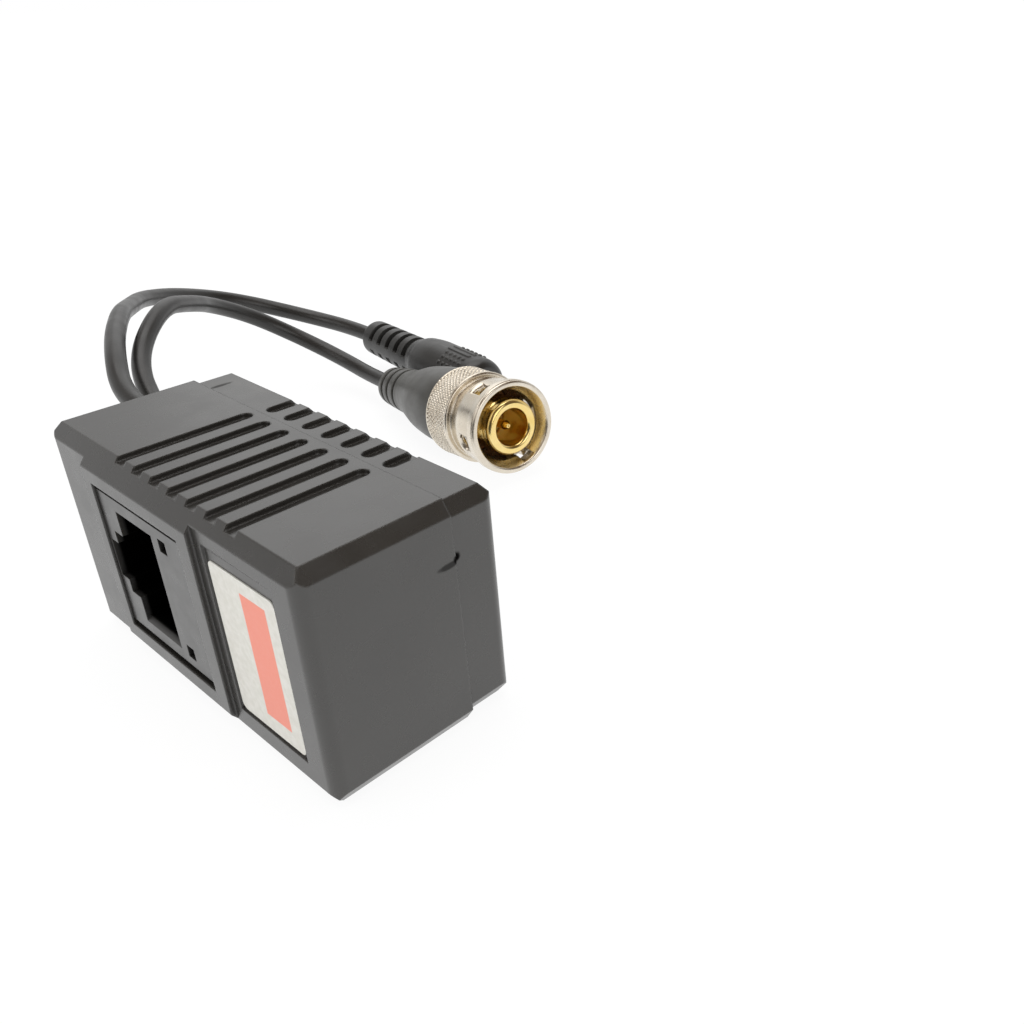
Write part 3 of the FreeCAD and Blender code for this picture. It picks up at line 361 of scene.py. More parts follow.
# Amber translucent insulator: honey coloured, glowing where light comes through it.
AMBER_INSULATOR = Finish(
    "amber_moulded_insulator", "amber_insulator", "#DDB25C", "#E3BC6C", 3.0, (0.25, 0.35), 0.004, 0.4,
    constants=(("Transmission Weight", 0.08), ("Subsurface Weight", 0.4), ("Subsurface Scale", 0.002)))
# Cold-rolled spring steel: a cool grey with a soft shine.
SPRING_STEEL = Finish(
    "bare_spring_steel", "spring_steel", "#A9A7A2", "#B5B2AC", 2.0, (0.25, 0.35), 0.004, 0.2, 1.0)
# Glass-epoxy board under green solder mask: a glossy coat over a weave that just shows.
CARD_GREEN = Finish(
    "solder_masked_board", "board_green", "#14512B", "#1B6135", 2.5, (0.28, 0.4), 0.02, 1.2,
    constants=(("Coat Weight", 0.4),))
# Tin solder: bright, lumpy fillets.
TIN_SOLDER = Finish(
    "bright_tin_solder", "tin_solder", "#C6C6C8", "#B4B4B6", 0.8, (0.18, 0.32), 0.02, 0.4, 1.0)
# Tinned strands: fine grey lines, drawn coarser than the real 0.1 mm wires so that they show.
TINNED_STRANDS = Finish(
    "tinned_copper_strands", "tinned_copper", "#BDB6A8", "#A79C8B", 0.3, (0.25, 0.4), 0.04, 0.12, 1.0)
# Enamelled copper wire: red-brown and glossy.
ENAMEL_WIRE = Finish(
    "enamelled_copper_wire", "copper_enamel", "#A8552A", "#8E4019", 0.6, (0.2, 0.3), 0.004, 0.2, 1.0)
# Sintered ferrite: a dull dark grey with open pores.
FERRITE = Finish("sintered_ferrite", "ferrite", "#2A2A2C", "#333335", 0.7, (0.5, 0.65), 0.02, 0.15)
# Moulded epoxy of the small parts: matt, a shade off black.
PART_EPOXY = Finish("moulded_epoxy", "part_epoxy", "#232326", "#2B2B2E", 0.8, (0.45, 0.6), 0.01, 0.15)
# Dipped epoxy coat of the fuse: yellow, thick and wavy.
FUSE_COAT = Finish("yellow_dipped_coating", "fuse_yellow", "#D9A21E", "#C99312", 1.0, (0.3, 0.42), 0.02, 0.7)
# Natural nylon: milky, with the soft gloss of a cable tie.
NATURAL_NYLON = Finish("natural_nylon", "natural_nylon", "#DDD8CB", "#D3CDBE", 1.5, (0.38, 0.5), 0.008, 0.3)
# Silicone seal seen down the plug's mouth: brown red, matt.
SEAL_SILICONE = Finish(
    "moulded_silicone_seal", "seal_rubber", "#8A5A30", "#966538", 1.2, (0.45, 0.6), 0.008, 0.2)


# Meshes


def softened(corners: np.ndarray, reach: np.ndarray | float, loop: bool = True, steps: int = 5) -> np.ndarray:
    """Round the corners of a profile.

    Each corner c between neighbours a and b becomes the curve
    (1-t)^2 p + 2 t (1-t) c + t^2 q, where p and q lie on its two sides, `reach` away from c and
    never past 0.45 of a side.

    Args:
        corners: (n, 2) corner points in order.
        reach: how far each rounding runs along its two sides, one number or one for each corner.
        loop: whether the profile closes on itself; if not, its two ends stay sharp.
        steps: points along each rounding.

    Returns:
        The rounded profile.
    """
    before, after = np.roll(corners, 1, axis=0) - corners, np.roll(corners, -1, axis=0) - corners
    long_before, long_after = np.linalg.norm(before, axis=1), np.linalg.norm(after, axis=1)
    trim = np.minimum(np.broadcast_to(reach, len(corners)), 0.45 * np.minimum(long_before, long_after))
    if not loop:
        trim = trim.copy()
        trim[[0, -1]] = 0.0
    start = corners + before * (trim / long_before)[:, None]
    end = corners + after * (trim / long_after)[:, None]
    t = np.linspace(0, 1, steps)[None, :, None]
    curve = (1 - t) ** 2 * start[:, None] + 2 * t * (1 - t) * corners[:, None] + t ** 2 * end[:, None]
    points = curve.reshape(-1, 2)
    fresh = np.r_[True, np.linalg.norm(np.diff(points, axis=0), axis=1) > 1e-6]
    return points[fresh]


def densified(profile: np.ndarray, low: float, high: float, step: float) -> np.ndarray:
    """Add points to a profile where both ends of a side lie between two places on its first axis."""
    out = [profile[:1]]
    for start, end in zip(profile, profile[1:]):
        within = low - 1e-6 <= min(start[0], end[0]) and max(start[0], end[0]) <= high + 1e-6
        count = max(1, math.ceil(float(np.linalg.norm(end - start)) / step)) if within else 1
        shares = np.linspace(0, 1, count + 1)[1:, None]
        out.append(start + (end - start) * shares)
    return np.concatenate(out)


def turned_off(angles: np.ndarray, middle: float) -> np.ndarray:
    """How far angles are from a middle one, between -180 and 180 degrees."""
    return (angles - middle + 180) % 360 - 180


def quads(rows: int, columns: int, wrap_columns: bool, wrap_rows: bool = False) -> np.ndarray:
    """Faces of a grid of vertices, each from a vertex to its neighbours along both axes."""
    i = np.arange(rows if wrap_rows else rows - 1)
    j = np.arange(columns if wrap_columns else columns - 1)
    a, b = np.meshgrid(i, j, indexing="ij")
    c, d = (a + 1) % rows, (b + 1) % columns
    return np.stack([a * columns + b, a * columns + d, c * columns + d, c * columns + b], -1).reshape(-1, 4)


def lathe(profile: np.ndarray, around: int, carve: Carve | None = None) -> Grid:
    """Turn a closed profile about the X axis.

    A point (x, r) of the profile at angle t becomes (x, r cos t, r sin t), less what `carve` takes off r.

    Args:
        profile: (n, 2) places along the axis and radii.
        around: points round the axis.
        carve: gives the depth to take off from x, r and t, all as grids.

    Returns:
        Vertices in millimetres and four-sided faces.
    """
    t = np.linspace(0, 2 * math.pi, around, endpoint=False)
    x, angle = np.meshgrid(profile[:, 0], t, indexing="ij")
    radius = np.repeat(profile[:, 1:], around, axis=1)
    if carve is not None:
        radius = radius - carve(x, radius, angle)
    points = np.stack([x, radius * np.cos(angle), radius * np.sin(angle)], -1).reshape(-1, 3)
    return points, quads(len(profile), around, True, True)


def carried(middles: np.ndarray, across: np.ndarray, upward: np.ndarray, section: np.ndarray) -> Grid:
    """Carry a closed section along a path and close both ends: point = middle + u across + v upward.

    Args:
        middles: (n, 3) points of the path.
        across: (n, 3) the section's first direction at each point.
        upward: (n, 3) its second direction.
        section: (m, 2) the section's corners as u and v.

    Returns:
        Vertices and faces; a cap is a strip of faces between opposite corners.
    """
    ring = middles[:, None] + section[None, :, :1] * across[:, None] + section[None, :, 1:] * upward[:, None]
    count = len(section)
    k = np.arange(count // 2 - 1)
    cap = np.stack([k, k + 1, count - 2 - k, count - 1 - k], -1)
    last = (len(middles) - 1) * count
    return ring.reshape(-1, 3), np.concatenate([quads(len(middles), count, True), cap, cap[:, ::-1] + last])


def together(grids: Sequence[Grid]) -> Grid:
    """Put several grids into one list of vertices and faces."""
    starts = np.cumsum([0] + [len(points) for points, _ in grids[:-1]])
    return np.concatenate([g[0] for g in grids]), np.concatenate([g[1] + s for g, s in zip(grids, starts)])


def weld(mesh: bpy.types.Mesh, apart: float, outward: bool) -> None:
    """Merge points nearer than `apart` metres; where asked, drop empty faces and point the rest outwards."""
    work = bmesh.new()
    work.from_mesh(mesh)
    bmesh.ops.remove_doubles(work, verts=work.verts, dist=apart)
    if outward:
        bmesh.ops.dissolve_degenerate(work, edges=work.edges, dist=1e-8)
        bmesh.ops.recalc_face_normals(work, faces=work.faces)
    work.to_mesh(mesh)
    work.free()


def placed(name: str, data: Any) -> Object:
    """Make an object of a mesh, curve, light or camera, and put it into the scene at the origin."""
    obj = bpy.data.objects.new(name, data)
    bpy.context.scene.collection.objects.link(obj)
    return obj


def dress(obj: Object, finish: Finish, body: Body | None) -> Object:
    """Give a piece its finish and the body it rides on, where it doesn't have one yet."""
    obj.data.materials.clear()
    obj.data.materials.append(finish.make())
    if body:
        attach(obj, body.value)
    return obj


def piece(
    name: str, shape: Grid, finish: Finish, node: str = "", sharp_deg: float = 45.0, body: Body = Body.BALUN,
) -> Object:
    """Make a finished piece from a grid in millimetres.

    Args:
        name: its name in the table of pieces.
        shape: vertices in millimetres, in the part's frame, and faces.
        finish: the surface it gets.
        node: the CAD node that it replaces, if any.
        sharp_deg: edges that turn more than this stay sharp in the shading.
        body: the CAD body it rides on.

    Returns:
        The new object, at the origin and unturned.
    """
    points, faces = shape
    mesh = bpy.data.meshes.new(name)
    mesh.from_pydata((points * MM).tolist(), [], faces.tolist())
    mesh.validate()
    weld(mesh, 1e-7, True)
    mesh.shade_smooth()
    mesh.set_sharp_from_angle(angle=math.radians(sharp_deg))
    obj = dress(placed(name, mesh), finish, body)
    if node:
        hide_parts(node)
    return obj


def merged(name: str, node: str, finish: Finish) -> Object:
    """Copy a CAD node of the balun body and join its loose triangles; its finish rounds the edges."""
    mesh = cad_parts[node].data.copy()
    weld(mesh, 2e-6, False)
    mesh.shade_flat()
    obj = placed(name, mesh)
    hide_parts(node)
    return dress(obj, finish, Body.BALUN)


def applied(obj: Object) -> None:
    """Apply an object's modifiers, so that its mesh is final."""
    graph = bpy.context.evaluated_depsgraph_get()
    graph.update()
    mesh = bpy.data.meshes.new_from_object(obj.evaluated_get(graph))
    obj.modifiers.clear()
    obj.data = mesh


@dataclass(frozen=True)
class Pose:
    """Where a connector lies: the middle of its front face, and how its axis is turned."""

    front: Point
    yaw_deg: float
    nose_up_deg: float

    @property
    def matrix(self) -> np.ndarray:
        """Rotation about Z by the yaw, after the nose is raised."""
        turn = Matrix.Rotation(math.radians(self.yaw_deg), 3, "Z") @ Matrix.Rotation(
            math.radians(-self.nose_up_deg), 3, "Y")
        return np.array(turn)

    @property
    def euler(self) -> tuple[float, float, float]:
        """The same turn as XYZ Euler angles."""
        return tuple(Matrix(self.matrix.tolist()).to_euler("XYZ"))

    def place(self, shape: Grid) -> Grid:
        """Bring a shape from the connector's own frame into the part's."""
        return shape[0] @ self.matrix.T + np.array(self.front), shape[1]

    def point(self, behind: float) -> Point:
        """A point on the axis this far behind the front face."""
        return tuple(np.array(self.front) - self.matrix[:, 0] * behind)


# Camera, leads and light


@dataclass
class Viewpoint:
    """The camera: a hand-held close-up that looks down over the housing's label end."""

    position: Point = (82.51, -39.78, 64.38)
    forward: Point = (-0.58816, 0.65511, -0.47424)
    upward: Point = (-0.30218, 0.36591, 0.88023)
    lens_mm: float = 34.74
    shift: tuple[float, float] = (-0.1071, -0.0184)

    def build(self) -> None:
        """Make the camera and set it as the scene's own."""
        data = bpy.data.cameras.new("viewpoint")
        data.lens, data.sensor_width = self.lens_mm, 36.0
        data.shift_x, data.shift_y = self.shift
        data.clip_start, data.clip_end = 0.005, 20.0
        camera = placed("viewpoint", data)
        back = -Vector(self.forward).normalized()
        right = Vector(self.upward).cross(back).normalized()
        camera.matrix_world = Matrix.Translation(Vector(self.position) * MM) @ Matrix(
            (right, back.cross(right), back)).transposed().to_4x4()
        bpy.context.scene.camera = camera


@dataclass
class Studio:
    """A white sweep in a white room whose near side is dusky, as behind whoever looks on."""

    floor_m: float = 4.0
    world: float = 0.62
    dusk: str = "#6C5D4F"
    dusk_side: Point = (0.45, -0.45, 0.77)
    lamps: tuple[tuple[str, Point, float, float], ...] = (
        ("overhead_softbox", (-120.0, 120.0, 620.0), 0.55, 1.9),
        ("side_softbox", (520.0, -60.0, 260.0), 0.4, 0.8),
        ("front_softbox", (-200.0, -480.0, 330.0), 0.4, 0.8),
        ("back_softbox", (-300.0, 260.0, 235.0), 0.3, 0.12),
    )

    def build(self) -> None:
        """Make the floor, the world and the lamps."""
        half = self.floor_m / 2
        corners = np.array([(-half, -half, 0), (half, -half, 0), (half, half, 0), (-half, half, 0)])
        mesh = bpy.data.meshes.new("floor")
        mesh.from_pydata(corners.tolist(), [], [(0, 1, 2, 3)])
        floor = placed("floor", mesh)
        floor.data.materials.append(self.paper())
        self.surround()
        for name, place, size, watts in self.lamps:
            data = bpy.data.lights.new(name, "AREA")
            data.size, data.energy = size, watts
            lamp = placed(name, data)
            lamp.location = Vector(place) * MM
            lamp.rotation_euler = (-lamp.location + Vector((0, 0.02, 0))).to_track_quat("-Z", "Y").to_euler()
        bpy.context.scene.view_settings.view_transform = "Standard"

    def seen(self, tree: Tree) -> Any:
        """1 for what is seen straight, in a mirror or through glass, and 0 for what lights the object."""
        path = add(tree, "LightPath", {}).node.outputs
        seen = path["Is Camera Ray"]
        for ray in ("Is Transmission Ray", "Is Glossy Ray"):
            seen = add(tree, "Math", {0: seen, 1: path[ray]}, operation="MAXIMUM")
        return seen

    def paper(self) -> bpy.types.Material:
        """White paper that stays white to the eye and keeps a trace of the object's shadow near it.

        The glowing share grows smoothly from 0.9 within 70 mm of the origin to 1 at 320 mm.
        """
        material = bpy.data.materials.new("white_paper_sweep")
        tree = emptied(material)
        coords = add(tree, "TexCoord", {}, "Object")
        away = add(tree, "VectorMath", {0: coords}, "Value", operation="LENGTH")
        glow = add(tree, "MapRange", {
            "Value": away, "From Min": 0.07, "From Max": 0.32, "To Min": 0.9, "To Max": 1.0},
            interpolation_type="SMOOTHSTEP")
        share = add(tree, "Math", {0: self.seen(tree), 1: glow}, operation="MULTIPLY")
        fibre = add(tree, "TexNoise", {"Vector": coords, "Scale": 900.0, "Detail": 3.0})
        tone = add(tree, "Mix", {0: fibre, 6: linear("#FAFAFA"), 7: linear("#F6F6F5")}, 2, data_type="RGBA")
        matt = add(tree, "BsdfDiffuse", {"Color": tone})
        bright = add(tree, "Emission", {"Color": (1, 1, 1, 1), "Strength": 1.02})
        add(tree, "OutputMaterial", {"Surface": add(tree, "MixShader", {0: share, 1: matt, 2: bright})})
        return material

    def surround(self) -> None:
        """White to the eye, a softer white as light, and dusky on its near side in reflections.

        Reflections see 0.3 less near the horizon, up to a height of 0.25, and no less from 0.55 on. The dusk
        grows where the direction's dot product with the dusky side passes from -0.05 to 0.35.
        """
        world = bpy.data.worlds.new("white_room")
        bpy.context.scene.world = world
        world.cycles.sampling_method = "NONE"
        tree = emptied(world)
        glossy = add(tree, "LightPath", {}, "Is Glossy Ray")
        direction = add(tree, "TexCoord", {}, "Generated")
        facing = add(tree, "VectorMath", {0: direction, 1: self.dusk_side}, "Value", operation="DOT_PRODUCT")
        dim = add(tree, "MapRange", {"Value": facing, "From Min": -0.05, "From Max": 0.35},
                  interpolation_type="SMOOTHSTEP")
        share = add(tree, "Math", {0: glossy, 1: dim}, operation="MULTIPLY")
        tone = add(tree, "Mix", {0: share, 6: (1, 1, 1, 1), 7: linear(self.dusk)}, 2, data_type="RGBA")
        height = add(tree, "SeparateXYZ", {0: direction}, "Z")
        low = add(tree, "MapRange", {
            "Value": height, "From Min": 0.25, "From Max": 0.55, "To Min": 0.3, "To Max": 0.0})
        less = add(tree, "Math", {0: low, 1: glossy}, operation="MULTIPLY")
        power = add(tree, "MapRange", {"Value": self.seen(tree), "To Min": self.world, "To Max": 1.0})
        power = add(tree, "Math", {0: power, 1: less}, operation="SUBTRACT")
        add(tree, "OutputWorld", {"Surface": add(tree, "Background", {"Color": tone, "Strength": power})})


@dataclass
class Lead:
    """A flexible PVC lead that leaves the housing's end and curls round to its connector."""

    name: str
    node: str
    route: tuple[Point, ...]
    radius: float
    length: float
    exit: Point

    def build(self, on_it: Sequence[Object]) -> Object:
        """Args:
            Args:
                    on_it: the connector's pieces; not used.

        Returns:
            The curve.
        """
        curve = bpy.data.curves.new(self.name, "CURVE")
        curve.dimensions, curve.bevel_depth = "3D", self.radius * MM
        curve.bevel_resolution, curve.resolution_u, curve.use_fill_caps = 10, 24, True
        spline = curve.splines.new("NURBS")
        spline.points.add(len(self.route) - 1)
        for point, place in zip(spline.points, self.route):
            point.co = (*metres(place), 1.0)
        spline.order_u = 3
        spline.use_endpoint_u = True
        obj = dress(placed(self.name, curve), LEAD_PVC, Body.BALUN)
        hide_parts(self.node)
        return obj


# Sub-assemblies

PLUG = Pose((-11.52, 42.92, 7.9754), -8.08, 6.57)
POWER = Pose((-32.1, 55.65, 4.4505), -4.36, -1.7)
# Nickel over brass: warm, bright and mirror-like, so it carries streaks of the white room.
NICKEL = TurnedPlate(
    "bright_nickel_plate", "nickel_plate", "#E6DED0", "#DAD0BF", 3.0, (0.22, 0.32), 0.002, 0.3, 1.0, 0.05,
    "#EFEAE0", origin=PLUG.front, turn=PLUG.euler)
# Gold over nickel: deep yellow, brightest at the sleeve's rolled lip.
GOLD = TurnedPlate(
    "bright_gold_plate", "gold_plate", "#F8DF9C", "#F1D384", 2.5, (0.13, 0.22), 0.002, 0.3, 1.0,
    origin=PLUG.front, turn=PLUG.euler)


def turned(
    name: str, node: str, pose: Pose, section: Sequence[tuple[float, float]], reach: float, finish: Finish,
    around: int = 96,
) -> Object:
    """Turn a closed section into a piece that stands for a CAD node.

    Args:
        name: the piece's name.
        node: the CAD node that it replaces.
        pose: where its connector lies.
        section: places behind the front face and radii, in order round the section.
        reach: how far each corner's rounding runs.
        finish: its surface.
        around: points round the axis.

    Returns:
        The new object.
    """
    profile = softened(np.array(section) * BACKWARD, reach, steps=4)
    return piece(name, pose.place(lathe(profile, around)), finish, node)


def carry_over(nodes: dict[str, Finish]) -> list[Object]:
    """Give CAD nodes whose shape is right their finish; they ride on their own bodies."""
    return [dress(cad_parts[node], finish, None) for node, finish in nodes.items()]


@dataclass
class Housing:
    """Two ABS shells, their board and everything on it."""

    inner: dict[str, Finish] = field(default_factory=lambda: {
        "contact_carrier": SOCKET_PBT, "circuit_board": CARD_GREEN, "video_lead_cores": TINNED_STRANDS,
        "power_lead_cores": TINNED_STRANDS, "solder_joints": TIN_SOLDER, "transformer_core": FERRITE,
        "transformer_winding": ENAMEL_WIRE, "surge_suppressors": PART_EPOXY, "resettable_fuse": FUSE_COAT,
        "chip_parts": PART_EPOXY, "lead_ties": NATURAL_NYLON,
    })

    def build(self) -> list[Object]:
        """Dress the shells, and what is inside."""
        shells = [merged(f"{node}_moulding", node, HOUSING_ABS) for node in ("front_shell", "rear_shell")]
        return shells + carry_over(self.inner)


@dataclass
class Sticker:
    """A thin vinyl sticker with rounded corners, pressed on and a little uneven."""

    low: tuple[float, float] = (7.85, 3.75)
    high: tuple[float, float] = (18.3, 19.95)
    back_y: float = -9.825
    thickness: float = 0.12
    corner: float = 0.7
    pressed: float = 0.9
    wave: float = 0.006

    def build(self) -> Object:
        """Make the sticker as a closed sheet.

        A point at shares u and v of the width and height lies on the rectangle; the corner squares are drawn
        in to a circle: the excess over the corner's middle, (a, b), is scaled by max(a, b) / length(a, b).
        The face stands the `pressed` share of the thickness off the recess, plus a wave.
        """
        wide, tall = 61, 91
        u, v = np.meshgrid(np.linspace(-1, 1, wide), np.linspace(-1, 1, tall), indexing="ij")
        half = np.array([self.high[0] - self.low[0], self.high[1] - self.low[1]]) / 2
        flat = np.stack([u * half[0], v * half[1]], -1)
        over = np.maximum(np.abs(flat) - (half - self.corner), 0)
        size = np.linalg.norm(over, axis=-1, keepdims=True)
        pull = np.where(size > 1e-9, over.max(-1, keepdims=True) / np.maximum(size, 1e-9), 1.0)
        flat = np.sign(flat) * (np.minimum(np.abs(flat), half - self.corner) + over * pull)
        x, z = flat[..., 0] + self.low[0] + half[0], flat[..., 1] + self.low[1] + half[1]
        inside = np.maximum(np.abs(u), np.abs(v)) < 0.999
        wave = self.wave * np.sin(x * 1.3 + 0.5) * np.sin(z * 0.9) * inside
        front = np.stack([x, self.back_y - self.thickness * self.pressed - wave, z], -1).reshape(-1, 3)
        back = np.stack([x, np.full_like(x, self.back_y - 0.002), z], -1).reshape(-1, 3)
        rim = np.arange(wide * tall).reshape(wide, tall)
        edge = np.r_[rim[0], rim[1:, -1], rim[-1, -2::-1], rim[-2:0:-1, 0]]
        sheet = quads(wide, tall, False)
        skirt = np.stack([edge, np.roll(edge, -1), np.roll(edge, -1) + len(front), edge + len(front)], -1)
        shape = (np.concatenate([front, back]), np.concatenate([sheet, sheet[:, ::-1] + len(front), skirt]))
        return piece("sticker_sheet", shape, STICKER_VINYL, "label", 50)


@dataclass
class ModularSocket:
    """The socket's moulding and its eight gold spring wires."""

    wire_x: float = -1.01
    nose_y: float = -7.475
    middle_z: float = 12.23
    tail_y: float = 5.32
    pitch: float = 1.02
    width: float = 0.4
    thickness: float = 0.3
    arm: float = 6.85
    arm_deg: float = 122.0
    hook: tuple[float, float] = (0.35, 0.25)
    nose_bend: float = 0.7
    tip_bend: float = 0.3
    count: int = 8

    def build(self) -> list[Object]:
        """Dress the moulding and bend the wires."""
        moulding = merged("socket_moulding", "socket_housing", SOCKET_PBT)
        return [moulding, piece("socket_spring_wires", self.wires(), GOLD, "socket_contacts", 50)]

    def wires(self) -> Grid:
        """Each wire runs along -Y from the board, turns round at the nose and leans back into the mouth.

        The path is that line with its corners rounded over `nose_bend` and `tip_bend`, and the section is a
        rectangle with its corners cut by a fifth of the thickness.
        """
        lean = math.radians(self.arm_deg)
        tip = np.array([self.wire_x + self.arm * math.cos(lean), self.nose_y + self.arm * math.sin(lean)])
        corners = np.array([
            (self.wire_x, self.tail_y), (self.wire_x, self.nose_y), tip, tip + np.array(self.hook)])
        path = softened(corners, np.array([0, self.nose_bend, self.tip_bend, 0]), False, 9)
        along = np.gradient(path, axis=0)
        along /= np.linalg.norm(along, axis=1, keepdims=True)
        side = np.stack([-along[:, 1], along[:, 0], np.zeros(len(path))], -1)
        upward = np.tile([0.0, 0.0, 1.0], (len(path), 1))
        a, b, c = self.thickness / 2, self.width / 2, self.thickness / 5
        section = np.array([
            (a, b - c), (a - c, b), (c - a, b), (-a, b - c),
            (-a, c - b), (c - a, -b), (a - c, -b), (a, c - b)])
        grids = []
        for k in range(self.count):
            level = self.middle_z + (k - (self.count - 1) / 2) * self.pitch
            middles = np.column_stack([path, np.full(len(path), level)])
            grids.append(carried(middles, side, upward, section))
        return together(grids)


@dataclass
class VideoPlug:
    """Bayonet plug: knurled nickel nut, gold sleeve, amber insulator and a ribbed PVC boot."""

    radius: float = 6.6
    length: float = 12.7
    knurl_front: float = 7.15
    knurl_starts: int = 64
    knurl_pitch: float = 0.78
    knurl_depth: float = 0.24
    knurl_pit: float = 0.4
    knurl_flank: float = 0.42
    knurl_under: float = 0.05
    knurl_fade: float = 0.12
    ring_width: float = 0.4
    cam_width: float = 2.1
    cam_start: float = 2.9
    cam_rise: float = 0.8
    cam_deg: float = 80.0
    cam_from_top_deg: float = 22.0
    cam_bottom: float = 4.4
    cam_floor: float = 5.65
    groove_middles: tuple[float, ...] = (28.5, 30.75, 32.75)
    rib_radii: tuple[float, ...] = (3.6, 3.42, 3.24)
    groove_halves: tuple[float, float] = (0.36, 0.24)
    groove_depth: float = 0.65

    def build(self) -> list[Object]:
        """Make the nut, what shows in its mouth and the boot, and dress the rest."""
        return self.nut() + self.mouth() + [self.boot(), self.spring()] + carry_over({
            "video_plug_body": NICKEL, "video_plug_thrust_washer": SPRING_STEEL,
            "video_plug_crimp_ferrule": NICKEL, "video_plug_inner_mould": INNER_PVC,
            "video_plug_lock_ring": SPRING_STEEL,
        })

    def knurl(self, x: np.ndarray, radius: np.ndarray, angle: np.ndarray) -> np.ndarray:
        """Depth of a diamond knurl: a raised mesh of crossing lines round dark pits.

        With p = angle * starts / 2 pi and q = x / pitch, each line is a triangle wave of p + q or p - q. The
        higher of the two, less `knurl_pit` and over `knurl_flank`, is the height, held between 0 and 1. The
        band lies `knurl_under` below its rings, and fades into them over `knurl_fade`.
        """
        p, q = angle * self.knurl_starts / (2 * math.pi), x / self.knurl_pitch
        waves = [1 - np.abs(2 * (s - np.floor(s)) - 1) for s in (p + q, p - q)]
        height = ((np.maximum(*waves) - self.knurl_pit) / self.knurl_flank).clip(0, 1)
        front, back = self.knurl_front + self.ring_width, self.length - self.ring_width
        band = np.clip((-x - front) / self.knurl_fade, 0, 1) * np.clip((x + back) / self.knurl_fade, 0, 1)
        return (self.knurl_depth * (1 - height) + self.knurl_under) * band * (radius > self.radius - 0.1)

    def nut(self) -> list[Object]:
        """Turn the nut's drum and its knurled band, and cut the bayonet paths through the drum."""
        r, back, front, ring = self.radius, self.length, self.knurl_front, self.ring_width
        drum = np.array([
            (back - 0.02, 5.34), (back - 0.02, 6.1), (front + 0.02, 6.1), (front + 0.02, 5.8), (6.85, 5.68),
            (5.6, 5.68), (5.24, 5.85), (5.18, 6.1), (1.82, 6.1), (1.7, 6.2), (1.58, r), (0.52, r),
            (0.45, r - 0.14), (0.35, r - 0.14), (0.28, r - 0.02), (0.1, 6.5), (0.0, 6.32), (0.0, 5.95),
            (0.1, 5.78), (1.6, 4.95), (9.35, 4.95), (9.35, 5.52), (12.5, 5.52), (12.5, 5.34)]) * BACKWARD
        reach = np.array([.05, .05, .02, .1, .3, .25, .1, .05, .06, .06, .25, .04,
                          .03, .03, .05, .1, .12, .1, .15, .3, .05, .05, .05, .05])
        shape = PLUG.place(lathe(softened(drum, reach), 192))
        body = piece("coupling_nut", shape, NICKEL, body=Body.COUPLING)
        cutters = self.cutters()
        for cutter in cutters:
            cut = body.modifiers.new(cutter.name, "BOOLEAN")
            cut.operation, cut.solver, cut.object = "DIFFERENCE", "EXACT", cutter
        before = len(body.data.vertices)
        applied(body)
        LOG.info("bayonet paths cut: %d vertices became %d", before, len(body.data.vertices))
        for cutter in cutters:
            bpy.data.objects.remove(cutter)
        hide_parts("video_plug_coupling_nut")
        band = np.array([
            (back, 5.8), (back, 6.35), (back - 0.2, r), (back - ring, r), (front + ring, r),
            (front + 0.18, r), (front, 6.4), (front, 6.0), (front + 0.5, 5.95), (back - 0.5, 5.95),
        ]) * BACKWARD
        reach = np.array([.05, .12, .12, .0, .0, .12, .12, .02, .02, .02])
        profile = densified(softened(band, reach, steps=4), ring - back, -front - ring, 0.09)
        knurl = piece("coupling_nut_knurl", PLUG.place(lathe(profile, self.knurl_starts * 7, self.knurl)),
                      NICKEL, sharp_deg=80, body=Body.COUPLING)
        return [body, knurl]

    def cutters(self) -> list[Object]:
        """Solids that cut each bayonet path: its entry, the window, the inner ramp and the end hole.

        Each is a block in cylindrical coordinates: for an angle t, a place x and a radius r, its corners are
        (x, -r sin t, r cos t), with t measured from the plug's upper side towards -Y. The entry is 0.02 mm
        shallower than the ramp and the ramp 2 % narrower than the window, which keeps their walls apart.
        """
        half, over = self.cam_width / 2, self.radius + 1
        mid, ones = self.cam_start / 2, np.ones(7)
        wide = half / (self.cam_floor + 0.2)
        turn = math.radians(self.cam_deg)
        shapes = []
        for side in (0.0, math.pi):
            first = math.radians(self.cam_from_top_deg) + side
            entry, share = np.linspace(-wide, wide, 7) + first, np.linspace(0, 1, 24)
            ramp = -self.cam_start - self.cam_rise * share
            shapes += [
                self.block(entry, 0.5 - mid * ones, mid + 0.6, self.cam_floor - 0.02),
                self.block(entry, -self.cam_start * ones, half, over),
                self.block(first + turn * share, ramp, half * 0.98, self.cam_floor),
            ]
            end = first + turn
            out = np.array([0.0, -math.sin(end), math.cos(end)])
            across = np.array([0.0, math.cos(end), math.sin(end)])
            t = np.linspace(0, 2 * math.pi, 32, endpoint=False)
            section = np.stack([half * np.cos(t), half * 1.25 * np.sin(t)], -1)
            seat = np.array([-self.cam_start - self.cam_rise, 0, 0])
            middles = seat + np.outer([self.cam_bottom, over], out)
            shapes.append(carried(middles, np.tile([1.0, 0, 0], (2, 1)), np.tile(across, (2, 1)), section))
        return [piece(f"cutter_{k}", PLUG.place(s), NICKEL, sharp_deg=38) for k, s in enumerate(shapes)]

    def block(self, angles: np.ndarray, centre: np.ndarray, reach: float, high: float) -> Grid:
        """A block from inside the bore to a radius, carried round the axis as its middle moves along it."""
        out = np.stack([np.zeros_like(angles), -np.sin(angles), np.cos(angles)], -1)
        middles = np.column_stack([centre, np.zeros((len(angles), 2))])
        low = self.cam_bottom
        section = np.array([(-reach, low), (reach, low), (reach, high), (-reach, high)])
        return carried(middles, np.tile([1.0, 0, 0], (len(angles), 1)), out, section)

